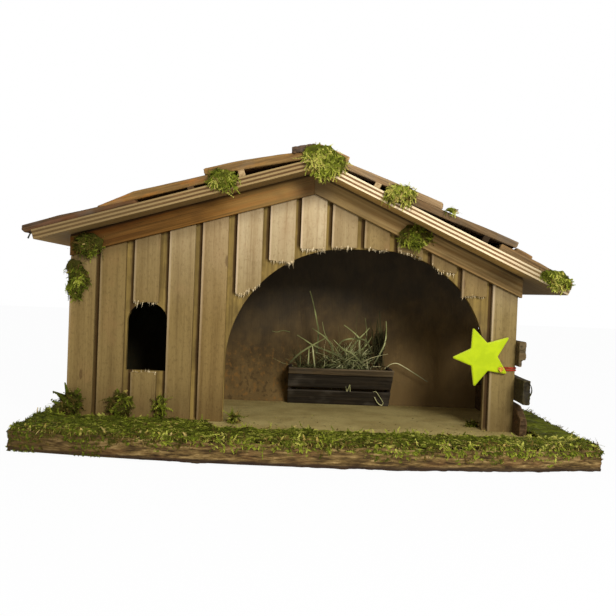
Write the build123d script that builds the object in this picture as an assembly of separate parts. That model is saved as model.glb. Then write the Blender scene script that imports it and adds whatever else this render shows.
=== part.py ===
from build123d import *
import math
import os

# A wooden nativity stable on a bark-edged base, with a star tied to its right post.
# Millimetres, X to the right, Y into the depth, Z up.
# The origin is the middle of the base's underside.

# Base
base_width = 504
base_depth = 282
base_thickness = 18
front_bow = 26
bark_thickness = 5
bark_lift = 1

# Walls
wall_thickness = 6
wall_margin_left = 25.4
wall_margin_right = 54.6
wall_setback = 117
back_margin = 3
partition_offset = 116

# Roof
ridge_over_arch = 69.7
left_wall_over_arch = 2.9
right_wall_under_arch = 19.9
roof_thickness = 9
roof_overhang_front = 40
roof_overhang_back = 3
eave_left = 30
eave_right = 43.5

# Bargeboards
barge_thickness = 9
barge_width_left = 19
barge_width_right = 17.4
barge_overrun = 3

# Battens on the front wall
batten_count = 14
batten_width = 24
batten_thickness = 5
batten_over_window = 3
batten_sill_drop = 1
batten_stub = 6

# Arch and window
arch_height = 168.3
arch_radius_left = 114
arch_radius_right = 103
arch_from_wall_left = 147.6
arch_leg_width = 28.6
window_width = 38.2
window_from_wall_left = 54
window_sill = 45.5
window_height = 65

# Fence on the right side
fence_thickness = 7
fence_low_height = 26.5
fence_low_gap = 3.8
fence_mid_height = 22.4
fence_band_gap = 10.6
fence_top_height = 23.7
fence_low_reach = 24
fence_mid_reach = 31
fence_top_reach = 12
fence_notch_height = 6.5
fence_notch_length = 22
fence_slant_length = 22
fence_slant_height = 11

# Shingles, laths and ridge boards
shingle_thickness = 6
shingle_taper = 34
pad_thickness = 3
shingle_gap = 1.5
shingle_count = 5
shingle_inset = 2.5
eave_lip = 4
lath_width = 6
ridge_gap = 1
ridge_board_width_left = 19.5
ridge_board_width_right = 27
ridge_board_thickness = 5.5

# Manger
manger_width = 115
manger_height = 43.5
manger_from_wall_right = 100.6
manger_reach = 41
manger_foot = 5
manger_board = 4
manger_slat_height = 17
manger_rail_height = 7
manger_slat_gap = 3.5
manger_floor_height = 5
hay_height = 82
hay_clearance = 0.6

# Star and its tie
star_radius = 29
star_inner_share = 0.474
star_thickness = 4
star_turn = 3
star_hole_from_centre = 20.1
star_hole_radius = 1.7
star_hole_from_wall_right = 15.1
star_clearance = 0.4
band_thickness = 0.8
band_height = 4
band_drop_share = 0.3
tie_radius = 1.3
knot_radius = 3
knot_thickness = 2.2

# Moss
moss_height = 4.5
moss_inset = 1.5
moss_front_depth = 61
moss_wall_gap = 13
moss_fence_gap = 2
moss_wall_side_gap = 2.5
moss_back_gap = 12
tuft_depth = 8
tuft_tip_share = 0.6
ridge_tuft_width = 44
ridge_tuft_height = 42
roof_tuft_rise = 13
eave_tuft_rise = 10
tuft_low = 3

# One overrun serves every cut
overrun = 5

# Places worked out from the driving dimensions
floor_z = base_thickness
base_front_y = -base_depth / 2
base_back_y = base_depth / 2
wall_left_x = -base_width / 2 + wall_margin_left
wall_right_x = base_width / 2 - wall_margin_right
wall_width = wall_right_x - wall_left_x
wall_front_y = base_front_y + wall_setback
wall_rear_y = wall_front_y + wall_thickness
batten_front_y = wall_front_y - batten_thickness
barge_front_y = wall_front_y - barge_thickness
back_outer_y = base_back_y - back_margin
back_inner_y = back_outer_y - wall_thickness
roof_front_y = wall_front_y - roof_overhang_front
roof_back_y = back_outer_y + roof_overhang_back
arch_left_x = wall_left_x + arch_from_wall_left
arch_right_x = wall_right_x - arch_leg_width
arch_top_z = floor_z + arch_height
arch_corner_most = min((arch_right_x - arch_left_x) / 2, arch_height)
arch_corner_left = min(arch_radius_left, arch_corner_most)
arch_corner_right = min(arch_radius_right, arch_corner_most)
spring_left_z = arch_top_z - arch_corner_left
spring_right_z = arch_top_z - arch_corner_right
crown_left_x = arch_left_x + arch_corner_left
crown_right_x = arch_right_x - arch_corner_right
ridge_z = arch_top_z + ridge_over_arch
window_left_x = wall_left_x + window_from_wall_left
window_right_x = window_left_x + window_width
window_sill_z = floor_z + window_sill
window_top_z = window_sill_z + window_height
partition_right_x = wall_left_x + partition_offset + wall_thickness
batten_pitch = (wall_width - batten_width) / (batten_count - 1)
post_left_x = wall_right_x - batten_width
fence_outer_x = wall_right_x + fence_thickness
fence_mid_z = floor_z + fence_low_height + fence_low_gap
fence_top_z = fence_mid_z + fence_mid_height + fence_band_gap
band_z = fence_top_z - fence_band_gap * band_drop_share
star_hole_x = wall_right_x - star_hole_from_wall_right
band_front_y = batten_front_y - band_thickness
star_back_y = band_front_y - star_clearance
star_front_y = star_back_y - star_thickness


class Slope:
    """One side of the roof: places on it by distance down from the ridge and height off the panel's top."""

    def __init__(self, side, wall_x, wall_top_z, eave):
        self.side = side
        self.tan = (ridge_z - wall_top_z) / abs(wall_x)
        self.cos = 1 / math.sqrt(1 + self.tan * self.tan)
        self.sin = self.tan * self.cos
        self.length = (abs(wall_x) + eave) / self.cos
        self.top_z = ridge_z + roof_thickness / self.cos

    def at(self, down, height):
        x = self.side * (down * self.cos + height * self.sin)
        return x, self.top_z - down * self.sin + height * self.cos

    def under(self, x):
        return ridge_z - abs(x) * self.tan


left_slope = Slope(-1, wall_left_x, arch_top_z + left_wall_over_arch, eave_left)
right_slope = Slope(1, wall_right_x, arch_top_z - right_wall_under_arch, eave_right)


def soffit_z(x):
    return (left_slope if x < 0 else right_slope).under(x)


def barge_low_z(x):
    width = barge_width_left / left_slope.cos if x < 0 else barge_width_right / right_slope.cos
    return soffit_z(x) - width


def along_y(points, y_front, y_back):
    outline = Polyline(*[(x, y_front, z) for x, z in points], close=True)
    return extrude(make_face(outline), amount=y_back - y_front, dir=(0, 1, 0))


def along_x(points, x_left, x_right):
    outline = Polyline(*[(x_left, y, z) for y, z in points], close=True)
    return extrude(make_face(outline), amount=x_right - x_left, dir=(1, 0, 0))


def block(x_left, x_right, y_front, y_back, z_low, z_high):
    return along_y([(x_left, z_low), (x_right, z_low), (x_right, z_high), (x_left, z_high)], y_front, y_back)


def tuft(plane, width, height, depth):
    """A clump with a flat back on the plane and a smaller, eight-sided front."""
    corners = [math.radians(45 * i + 22.5) for i in range(8)]
    rings = []
    for out, share in ((0, 1), (depth, tuft_tip_share)):
        ring = [(width / 2 * share * math.cos(a), height / 2 * share * math.sin(a), out) for a in corners]
        rings.append(plane * make_face(Polyline(*ring, close=True)))
    return loft(rings, ruled=True)


def facing_front(x, y, z):
    return Plane((x, y, z), x_dir=(1, 0, 0), z_dir=(0, -1, 0))


def facing_up(x, y, z):
    return Plane((x, y, z), x_dir=(1, 0, 0), z_dir=(0, 0, 1))


def front_arc(half_width, inset):
    """The bowed front line of the base, moved back by the inset."""
    reach = base_width / 2 - bark_thickness
    radius = (reach * reach + front_bow * front_bow) / (2 * front_bow)
    end_y = base_front_y + inset + radius - math.sqrt(radius * radius - half_width * half_width)
    ends = (-half_width, end_y), (half_width, end_y)
    return ThreePointArc(ends[0], (0, base_front_y + inset), ends[1]), ends


# Base board and its bark
def base_board():
    half = base_width / 2 - bark_thickness
    arc, ends = front_arc(half, bark_thickness)
    sides = Polyline(ends[1], (half, base_back_y), (-half, base_back_y), ends[0])
    return extrude(make_face(Curve() + [arc, sides]), amount=base_thickness)


def bark_front():
    half = base_width / 2
    outer, outer_ends = front_arc(half, 0)
    inner, inner_ends = front_arc(half, bark_thickness)
    right_end = Line(outer_ends[1], inner_ends[1])
    left_end = Line(inner_ends[0], outer_ends[0])
    face = make_face(Curve() + [outer, right_end, inner, left_end])
    return Pos(0, 0, bark_lift) * extrude(face, amount=base_thickness - bark_lift)


def bark_side(side):
    outer = side * base_width / 2
    inner = outer - side * bark_thickness
    end_y = front_arc(base_width / 2, bark_thickness)[1][0][1]
    x_left, x_right = sorted((outer, inner))
    return block(x_left, x_right, end_y, base_back_y, bark_lift, base_thickness)


# Walls
def gable(x_left, x_right, y_front, y_back):
    points = [(x_left, floor_z), (x_right, floor_z), (x_right, soffit_z(x_right))]
    points += [(0, ridge_z), (x_left, soffit_z(x_left))]
    return along_y(points, y_front, y_back)


def arch_cutter():
    low = floor_z - overrun
    right_leg = (arch_right_x, spring_right_z), (arch_right_x, low)
    left_leg = (arch_left_x, low), (arch_left_x, spring_left_z)
    edges = [Polyline(*right_leg, *left_leg)]
    edges.append(RadiusArc((arch_left_x, spring_left_z), (crown_left_x, arch_top_z), arch_corner_left))
    if crown_right_x > crown_left_x:
        edges.append(Line((crown_left_x, arch_top_z), (crown_right_x, arch_top_z)))
    edges.append(RadiusArc((crown_right_x, arch_top_z), (arch_right_x, spring_right_z), arch_corner_right))
    face = facing_front(0, wall_front_y - overrun, 0) * make_face(Curve() + edges)
    return extrude(face, amount=-wall_thickness - 2 * overrun)


def window_cutter():
    head = window_width / 2
    head_z = window_top_z - head
    edges = [Polyline((window_left_x, head_z), (window_left_x, window_sill_z),
                      (window_right_x, window_sill_z), (window_right_x, head_z))]
    edges.append(ThreePointArc((window_right_x, head_z), (window_left_x + head, window_top_z),
                               (window_left_x, head_z)))
    face = facing_front(0, wall_front_y - overrun, 0) * make_face(Curve() + edges)
    return extrude(face, amount=-wall_thickness - 2 * overrun)


def front_wall():
    plate = gable(wall_left_x, wall_right_x, wall_front_y, wall_rear_y)
    return plate - arch_cutter() - window_cutter()


def back_wall():
    return gable(wall_left_x, wall_right_x, back_inner_y, back_outer_y)


def cross_wall(x_left):
    x_right = x_left + wall_thickness
    points = [(x_left, floor_z), (x_right, floor_z)]
    points += [(x_right, soffit_z(x_right)), (x_left, soffit_z(x_left))]
    return along_y(points, wall_rear_y, back_inner_y)


# Roof panels and bargeboards
def roof_panel(slope):
    eave_top = slope.at(slope.length - roof_thickness * slope.tan, 0)
    eave_low = slope.at(slope.length - roof_thickness * slope.tan, -roof_thickness)
    points = [(0, ridge_z), eave_low, eave_top, (0, slope.top_z)]
    return along_y(points, roof_front_y, roof_back_y)


def barge(slope, width, end_x):
    drop = width / slope.cos
    end_z = slope.under(end_x)
    points = [(0, ridge_z - drop), (end_x, end_z - drop), (end_x, end_z), (0, ridge_z)]
    return along_y(points, barge_front_y, wall_front_y)


# Battens cut by the arch: where the arch is measured, as a share of the batten's width, or None for
# each point's own place, then the ragged end as shares of the batten's width, across it and up from the arch
batten_end_shares = {
    6: (0.5, [(0, 0.18), (0.18, 0.12), (0.35, 0.08), (0.43, 0.32), (0.76, 0.35), (0.87, 0.5), (1, 0.59)]),
    7: (0.5, [(0, 0.24), (0.3, 0.22), (0.62, 0.21), (0.8, 0.18), (1, 0.18)]),
    8: (0.5, [(0, 0.16), (0.4, 0.15), (0.7, 0.17), (1, 0.18)]),
    9: (None, [(0, 0.08), (0.35, 0.03), (0.6, 0.06), (1, 0.04)]),
    10: (None, [(0, 0.04), (0.3, 0.05), (0.55, -0.01), (0.8, 0.01), (1, -0.02)]),
    11: (None, [(0, 0.04), (0.22, 0.04), (0.45, 0.07), (0.7, 0.05), (0.85, 0.07), (1, 0.06)]),
    12: (None, [(0, 0.04), (0.15, -0.03), (0.3, -0.09), (0.58, 0.08), (0.85, 0.28), (1, 0.42)]),
    13: (0.5, [(0, 0.43), (0.14, 0.5), (0.34, 0.5), (0.52, 0.54), (0.76, 0.48), (1, 0.52)]),
}
window_end_shares = [(0, 0.004), (0.3, -0.006), (0.55, 0.004), (0.8, -0.004), (1, 0.006)]
sill_end_shares = [(0, 0), (0.3, -0.012), (0.6, 0.004), (1, -0.008)]

# Battens off their even places, as shares of the gap between two battens
batten_shift_shares = {2: -0.41, 3: -0.28, 6: 0.22, 7: 0.22, 9: -0.18, 10: -0.16, 12: 0.3, 13: 0.15}


def batten_left_x(number):
    shift = batten_shift_shares.get(number, 0) * (batten_pitch - batten_width)
    return wall_left_x + (number - 1) * batten_pitch + shift


def batten(number, low_end=None, high_end=None):
    x_left = batten_left_x(number)
    low = low_end or [(0, floor_z), (1, floor_z)]
    points = [(x_left + share * batten_width, z) for share, z in low]
    if high_end:
        points += [(x_left + share * batten_width, z) for share, z in reversed(high_end)]
    else:
        x_right = x_left + batten_width
        points.append((x_right, barge_low_z(x_right)))
        if x_left < 0 < x_right:
            points += [(0, barge_low_z(0)), (0, barge_low_z(-math.ulp(0)))]
        points.append((x_left, barge_low_z(x_left)))
    return along_y(points, batten_front_y, wall_front_y)


def arch_z(x):
    """Height of the arch's edge over a place, taken at its nearest leg outside it."""
    corner = arch_corner_left if x < crown_left_x else arch_corner_right
    out = min(max(crown_left_x - x, x - crown_right_x, 0), corner)
    return arch_top_z - corner + math.sqrt(corner * corner - out * out)


def arch_end(number):
    anchor, shares = batten_end_shares[number]
    x_left = batten_left_x(number)
    points = []
    for share, rise in shares:
        x = x_left + share * batten_width
        z = arch_z(x if anchor is None else x_left + anchor * batten_width) + rise * batten_width
        points.append((share, min(z, barge_low_z(x) - batten_stub)))
    return points


def window_end(shares, z):
    return [(share, z + height * window_height) for share, height in shares]


# Fence on the right side
def fence_board(z_low, height, reach):
    return block(wall_right_x, fence_outer_x, batten_front_y - reach, back_outer_y, z_low, z_low + height)


def fence_board_low():
    board = fence_board(floor_z, fence_low_height, fence_low_reach)
    front = batten_front_y - fence_low_reach
    top = floor_z + fence_low_height
    corner = [(front, top - fence_slant_height), (front + fence_slant_length, top), (front, top)]
    return board - along_x(corner, wall_right_x - overrun, fence_outer_x + overrun)


def fence_board_top():
    board = fence_board(fence_top_z, fence_top_height, fence_top_reach)
    front = batten_front_y - fence_top_reach
    notch = block(fence_outer_x - fence_thickness / 2, fence_outer_x + overrun, front - overrun,
                  front + fence_notch_length, fence_top_z - overrun, fence_top_z + fence_notch_height)
    return board - notch


# Shingles, as shares of the slope's length down from the ridge, heights off the panel in shingle thicknesses
# Each course: upper end, lower end, height at the upper end, height at the lower end, place of its lath,
# thickness left at the upper end, thickness left at the lower tip
left_course_shares = {
    "top": (0, 0.377, 0.22, 1.72, 0.258, 1, 0.8),
    "mid": (0.352, 0.755, 0.5, 0.8, 0.437, 1, 0.12),
    "low": (0.627, 1, 0, 0, None, 0.5, 0.9),
}
right_course_shares = {
    "top": (0, 0.46, 0.05, 1.62, 0.23, 1, 0.95),
    "mid": (0.323, 0.751, 0, 1.46, 0.646, 1, 0.9),
    "low": (0.705, 0.985, 0, 0, None, 1, 0.7),
}
pad_shares = (0.758, 0.816, 1, 1, None, 1, 0.8)
lower_end_shares = (0, -0.05, 0.02, -0.035, 0.03)
upper_end_shares = (0, 0.02, -0.01, 0.015, -0.02)


def course_line(slope, shares):
    """The underside of a course: upper and lower end as distance down the slope and height off the panel."""
    up_share, low_share, up_rise, low_rise = shares[:4]
    lip = eave_lip if low_share == 1 else 0
    up = up_share * slope.length
    low = low_share * slope.length + lip
    return up, low, up_rise * shingle_thickness, low_rise * shingle_thickness


def course_tilt(slope, shares):
    up, low, up_height, low_height = course_line(slope, shares)
    return (low_height - up_height) / (low - up)


def course_height(slope, shares, down):
    up, _, up_height, _ = course_line(slope, shares)
    return up_height + course_tilt(slope, shares) * (down - up)


def course_point(slope, shares, down, lift):
    """A point over the course's underside, or where that line meets the ridge gap if down is None."""
    if down is None:
        start = course_height(slope, shares, 0) + lift
        down = (ridge_gap - start * slope.sin) / (slope.cos + course_tilt(slope, shares) * slope.sin)
    return slope.at(down, course_height(slope, shares, down) + lift)


def shingle_outline(slope, shares, thickness, upper_shift, lower_shift):
    up, low, _, _ = course_line(slope, shares)
    up_end = up + upper_shift * (low - up) if up else None
    low_end = low + lower_shift * (low - up)
    taper = min(shingle_taper, (low - up) / 2)
    lower = [course_point(slope, shares, low_end, lift) for lift in (0, thickness * shares[-1])]
    lower.append(course_point(slope, shares, low_end - taper, thickness))
    upper = [course_point(slope, shares, up_end, lift) for lift in (thickness * shares[-2], 0)]
    return lower + upper


def shingles(slope, shares, thickness):
    run = roof_back_y - roof_front_y - 2 * shingle_inset
    step = (run + shingle_gap) / shingle_count
    rows = []
    for i in range(shingle_count):
        y_front = roof_front_y + shingle_inset + i * step
        shift = lower_end_shares[i % len(lower_end_shares)]
        upper = upper_end_shares[i % len(upper_end_shares)]
        outline = shingle_outline(slope, shares, thickness, max(upper, 0), min(shift, 0))
        rows.append(along_y(outline, y_front, y_front + step - shingle_gap))
    return rows


def shingle_course(slope, shares):
    return Compound(children=shingles(slope, shares, shingle_thickness))


def padded_course(slope, shares):
    rows = shingles(slope, shares, shingle_thickness)
    return Compound(children=rows + shingles(slope, pad_shares, pad_thickness))


def laths(slope, courses):
    rows = []
    for shares in courses.values():
        if shares[4] is None:
            continue
        middle = shares[4] * slope.length
        upper = middle - lath_width / 2
        lower = middle + lath_width / 2
        points = [slope.at(upper, 0), slope.at(lower, 0)]
        points += [course_point(slope, shares, lower, 0), course_point(slope, shares, upper, 0)]
        rows.append(along_y(points, roof_front_y + shingle_inset, roof_back_y - shingle_inset))
    return Compound(children=rows)


def ridge_board(slope, shares, width):
    lifts = (shingle_thickness, shingle_thickness + ridge_board_thickness)
    points = [course_point(slope, shares, None, lift) for lift in lifts]
    points += [course_point(slope, shares, width, lift) for lift in reversed(lifts)]
    return along_y(points, roof_front_y, roof_back_y)


# Manger on the back wall: its front leans out from the foot to the rail
manger_right_x = wall_right_x - manger_from_wall_right
manger_left_x = manger_right_x - manger_width
manger_top_z = floor_z + manger_height
manger_foot_y = back_inner_y - manger_foot
manger_top_y = back_inner_y - manger_reach
manger_lean = (manger_foot_y - manger_top_y) / manger_height


def manger_front_y(z):
    return manger_foot_y - (z - floor_z) * manger_lean


def manger_end(x_left):
    points = [(back_inner_y, floor_z), (manger_foot_y, floor_z), (manger_top_y, manger_top_z)]
    points.append((back_inner_y, manger_top_z))
    return along_x(points, x_left, x_left + manger_board)


def manger_strip(z_low, z_high, thickness):
    points = [(manger_front_y(z_low), z_low), (manger_front_y(z_high), z_high)]
    points += [(manger_front_y(z_high) - thickness, z_high), (manger_front_y(z_low) - thickness, z_low)]
    return along_x(points, manger_left_x, manger_right_x)


def manger_slats():
    low = manger_strip(floor_z, floor_z + manger_slat_height, manger_board)
    high_z = floor_z + manger_slat_height + manger_slat_gap
    top = manger_top_z - manger_rail_height
    return Compound(children=[low, manger_strip(high_z, top, manger_board)])


def manger_rail():
    return manger_strip(manger_top_z - manger_rail_height, manger_top_z, manger_board * 3 / 2)


def manger_floor():
    z_high = floor_z + manger_floor_height
    points = [(back_inner_y, floor_z), (manger_foot_y, floor_z), (manger_front_y(z_high), z_high)]
    points.append((back_inner_y, z_high))
    return along_x(points, manger_left_x + manger_board, manger_right_x - manger_board)


def hay():
    low = floor_z + manger_floor_height
    top = floor_z + hay_height
    points = [(back_inner_y, low), (manger_front_y(low) + hay_clearance, low)]
    points.append((manger_front_y(manger_top_z) + hay_clearance, manger_top_z))
    points.append((manger_top_y + manger_board, (manger_top_z + top) / 2))
    points += [((manger_top_y + back_inner_y) / 2, top), (back_inner_y, top)]
    inset = manger_board + hay_clearance
    return along_x(points, manger_left_x + inset, manger_right_x - inset)


# Star, its band round the right post and its knot
def star():
    tied = math.radians(-36 + star_turn)
    centre_x = star_hole_x - star_hole_from_centre * math.cos(tied)
    centre_z = band_z - star_hole_from_centre * math.sin(tied)
    points = []
    for i in range(10):
        radius = star_radius * (star_inner_share if i % 2 else 1)
        angle = tied + math.radians(36 * i)
        points.append((centre_x + radius * math.cos(angle), centre_z + radius * math.sin(angle)))
    body = along_y(points, star_front_y, star_back_y)
    face = facing_front(star_hole_x, star_back_y + overrun, band_z) * Circle(star_hole_radius)
    return body - extrude(face, amount=star_thickness + 2 * overrun)


def star_band():
    low = band_z - band_height / 2
    high = band_z + band_height / 2
    corner = arch_corner_right
    over_spring = min(max(high - spring_right_z, 0), corner)
    leg_left_x = crown_right_x + math.sqrt(corner * corner - over_spring * over_spring)
    inner_left = min(leg_left_x, post_left_x)
    outer = block(inner_left - band_thickness, wall_right_x + band_thickness, band_front_y,
                  wall_rear_y + band_thickness, low, high)
    inner = block(inner_left, wall_right_x, batten_front_y, wall_rear_y, low - overrun, high + overrun)
    return outer - inner


def star_tie():
    shank = facing_front(star_hole_x, band_front_y, band_z) * Circle(tie_radius)
    knot_y = star_front_y - star_clearance
    knot = facing_front(star_hole_x, knot_y, band_z) * Circle(knot_radius)
    return extrude(shank, amount=band_front_y - knot_y) + extrude(knot, amount=knot_thickness)


# Moss beds on the base
def moss_bed_front():
    half = base_width / 2 - moss_inset
    arc, ends = front_arc(half, moss_inset)
    inner_y = base_front_y + moss_front_depth
    wall_y = batten_front_y - moss_wall_gap
    turn_x = arch_left_x - moss_wall_gap
    corner_x = turn_x + moss_wall_gap
    inner = [(half, inner_y), (corner_x, inner_y), (turn_x, wall_y), (-half, wall_y)]
    sides = Polyline(ends[1], *inner, ends[0])
    bed = extrude(make_face(Curve() + [arc, sides]), amount=moss_height)
    return Pos(0, 0, floor_z) * bed


def moss_bed_left():
    left = -base_width / 2 + moss_inset
    right = wall_left_x - moss_wall_side_gap
    front = batten_front_y - moss_wall_gap
    return block(left, right, front, base_back_y - moss_back_gap, floor_z, floor_z + moss_height)


def moss_bed_right():
    right = base_width / 2 - moss_inset
    left = fence_outer_x + moss_fence_gap
    front = base_front_y + moss_front_depth
    return block(left, right, front, base_back_y - moss_back_gap, floor_z, floor_z + moss_height)


# Moss tufts on the front edge of the roof: side, share of the slope, width
roof_tuft_width = 27
small_tuft_width = 11
eave_tuft_width = 30
wall_tuft_width = 28
ground_tuft_height = 28
roof_tuft_shares = ((left_slope, 0.325), (right_slope, 0.315))
small_tuft_share = 0.502
eave_tuft_share = 0.925


def moss_ridge():
    middle_z = ridge_z + roof_thickness - ridge_tuft_height / 8
    plane = facing_front(ridge_tuft_width / 10, roof_front_y, middle_z)
    return tuft(plane, ridge_tuft_width, ridge_tuft_height, tuft_depth)


def edge_tuft(slope, share, width, rise):
    height = tuft_low + roof_thickness + rise
    x, z = slope.at(share * slope.length, rise - height / 2)
    return tuft(facing_front(x, roof_front_y, z), width, height, tuft_depth)


def moss_roof_tufts():
    tufts = [edge_tuft(slope, share, roof_tuft_width, roof_tuft_rise) for slope, share in roof_tuft_shares]
    x, z = right_slope.at(small_tuft_share * right_slope.length, shingle_thickness * 2)
    small_plane = facing_front(x, roof_front_y + shingle_inset, z)
    tufts.append(tuft(small_plane, small_tuft_width, small_tuft_width * 4 / 5, tuft_depth / 2))
    tufts.append(edge_tuft(right_slope, eave_tuft_share, eave_tuft_width, eave_tuft_rise))
    return Compound(children=tufts)


# Moss tufts on the wall: places as shares of the wall's width, heights as shares of what carries them
barge_tuft_shares = (0.041, 0.76)
corner_tuft_share = 0.865
corner_tuft_lift_share = 0.5


def moss_wall_tufts():
    tufts = []
    for share in barge_tuft_shares:
        x = wall_left_x + share * wall_width
        z = (barge_low_z(x) * 2 + soffit_z(x)) / 3
        clump = tuft(facing_front(x, barge_front_y, z), wall_tuft_width, wall_tuft_width, tuft_depth)
        tufts.append(clump - roof_panel(left_slope if x < 0 else right_slope))
    z = floor_z + corner_tuft_share * (barge_low_z(wall_left_x) - floor_z)
    plane = facing_front(wall_left_x + wall_tuft_width * corner_tuft_lift_share / 2, batten_front_y, z)
    tufts.append(tuft(plane, wall_tuft_width * 4 / 5, wall_tuft_width * 3 / 2, tuft_depth))
    return Compound(children=tufts)


# Ground tufts stand against the battens: shares of the wall's width and of the tuft's width
ground_tuft_shares = ((0.014, 0.9), (0.122, 1), (0.21, 0.5))
floor_tuft_shares = ((0.375, -0.3), (0.905, 0.45))


def moss_ground_tufts():
    tufts = []
    for place, size in ground_tuft_shares:
        x = wall_left_x + place * wall_width
        plane = facing_front(x, batten_front_y, floor_z + ground_tuft_height / 2)
        tufts.append(tuft(plane, wall_tuft_width * size, ground_tuft_height, tuft_depth))
    for place, back in floor_tuft_shares:
        in_front = (batten_thickness + wall_thickness) * (back - abs(back))
        y = wall_rear_y + back * ground_tuft_height + in_front
        plane = facing_up(wall_left_x + place * wall_width, y, floor_z)
        tufts.append(tuft(plane, small_tuft_width, small_tuft_width, moss_height))
    return Compound(children=tufts)


pieces = {
    "base_board": base_board(),
    "bark_front": bark_front(),
    "bark_left": bark_side(-1),
    "bark_right": bark_side(1),
    "front_wall": front_wall(),
    "back_wall": back_wall(),
    "left_wall": cross_wall(wall_left_x),
    "partition_wall": cross_wall(partition_right_x - wall_thickness),
    "roof_panel_left": roof_panel(left_slope),
    "roof_panel_right": roof_panel(right_slope),
    "barge_left": barge(left_slope, barge_width_left, wall_left_x),
    "barge_right": barge(right_slope, barge_width_right, wall_right_x + barge_overrun),
    "fence_board_low": fence_board_low(),
    "fence_board_mid": fence_board(fence_mid_z, fence_mid_height, fence_mid_reach),
    "fence_board_top": fence_board_top(),
    "roof_laths_left": laths(left_slope, left_course_shares),
    "roof_laths_right": laths(right_slope, right_course_shares),
    "ridge_board_left": ridge_board(left_slope, left_course_shares["top"], ridge_board_width_left),
    "ridge_board_right": ridge_board(right_slope, right_course_shares["top"], ridge_board_width_right),
    "manger_end_left": manger_end(manger_left_x),
    "manger_end_right": manger_end(manger_right_x - manger_board),
    "manger_floor": manger_floor(),
    "manger_slats": manger_slats(),
    "manger_rail": manger_rail(),
    "hay": hay(),
    "star": star(),
    "star_band": star_band(),
    "star_tie": star_tie(),
    "moss_bed_front": moss_bed_front(),
    "moss_bed_left": moss_bed_left(),
    "moss_bed_right": moss_bed_right(),
    "moss_ridge": moss_ridge(),
    "moss_roof_tufts": moss_roof_tufts(),
    "moss_wall_tufts": moss_wall_tufts(),
    "moss_ground_tufts": moss_ground_tufts(),
}
for course in ("low", "mid", "top"):
    pieces[f"shingles_left_{course}"] = shingle_course(left_slope, left_course_shares[course])
    right_course = padded_course if course == "low" else shingle_course
    pieces[f"shingles_right_{course}"] = right_course(right_slope, right_course_shares[course])
for number in range(1, batten_count + 1):
    name = f"batten_{number:02d}"
    if number == batten_over_window:
        over = window_end(window_end_shares, window_top_z)
        under = window_end(sill_end_shares, window_sill_z - batten_sill_drop)
        pieces[name + "_upper"] = batten(number, low_end=over)
        pieces[name + "_lower"] = batten(number, high_end=under)
    elif number in batten_end_shares:
        pieces[name] = batten(number, low_end=arch_end(number))
    else:
        pieces[name] = batten(number)

os.makedirs("parts", exist_ok=True)
for name, piece in pieces.items():
    export_step(piece, f"parts/{name}.step")
print(len(pieces), "pieces")
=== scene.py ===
import math
import bpy
import bmesh
import numpy as np
from mathutils import Matrix, Vector


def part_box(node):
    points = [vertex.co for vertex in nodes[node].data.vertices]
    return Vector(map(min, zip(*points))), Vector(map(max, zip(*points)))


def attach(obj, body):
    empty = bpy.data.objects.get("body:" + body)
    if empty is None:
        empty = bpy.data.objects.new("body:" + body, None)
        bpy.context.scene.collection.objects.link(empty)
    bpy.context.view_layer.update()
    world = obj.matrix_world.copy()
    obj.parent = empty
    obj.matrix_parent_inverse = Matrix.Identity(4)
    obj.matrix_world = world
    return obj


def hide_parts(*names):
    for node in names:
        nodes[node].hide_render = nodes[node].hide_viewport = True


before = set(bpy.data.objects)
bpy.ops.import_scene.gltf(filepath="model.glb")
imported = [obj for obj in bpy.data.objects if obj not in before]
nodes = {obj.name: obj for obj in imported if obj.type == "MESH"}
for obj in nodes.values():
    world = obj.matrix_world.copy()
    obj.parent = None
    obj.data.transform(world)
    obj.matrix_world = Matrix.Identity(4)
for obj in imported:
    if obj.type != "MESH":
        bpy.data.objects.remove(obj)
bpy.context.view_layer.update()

scene = bpy.context.scene
mm = 0.001
sides = {"left": -1, "right": 1}
tilts = {"left": math.atan(0.2947), "right": math.atan(0.4541)}  # the two roof slopes
soffitPeak = 256  # underside of the roof at the ridge, mm
floorZ = 18  # top of the base board
print("stage: frame loaded,", len(nodes), "nodes")


def srgb(red, green, blue):
    tones = []
    for value in (red, green, blue):
        value /= 255
        tones.append(value / 12.92 if value <= 0.04045 else ((value + 0.055) / 1.055) ** 2.4)
    return (*tones, 1)


# a tone made darker, or lighter up to white
def shaded(tone, share):
    return tuple(min(255, share * value) for value in tone)


def boxOf(name):
    low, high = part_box(name)
    return np.array(low) / mm, np.array(high) / mm


# shader maths: a wire is a socket that can be added, multiplied and compared
class Wire:
    def __init__(self, finish, socket):
        self.finish, self.socket = finish, socket

    def __add__(self, other):
        return self.finish.maths("ADD", self, other)

    def __sub__(self, other):
        return self.finish.maths("SUBTRACT", self, other)

    def __rsub__(self, other):
        return self.finish.maths("SUBTRACT", other, self)

    def __mul__(self, other):
        return self.finish.maths("MULTIPLY", self, other)

    def __mod__(self, other):
        return self.finish.maths("FLOORED_MODULO", self, other)

    def __gt__(self, other):
        return self.finish.maths("GREATER_THAN", self, other)

    def __lt__(self, other):
        return self.finish.maths("LESS_THAN", self, other)

    def __abs__(self):
        return self.finish.maths("ABSOLUTE", self)


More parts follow.
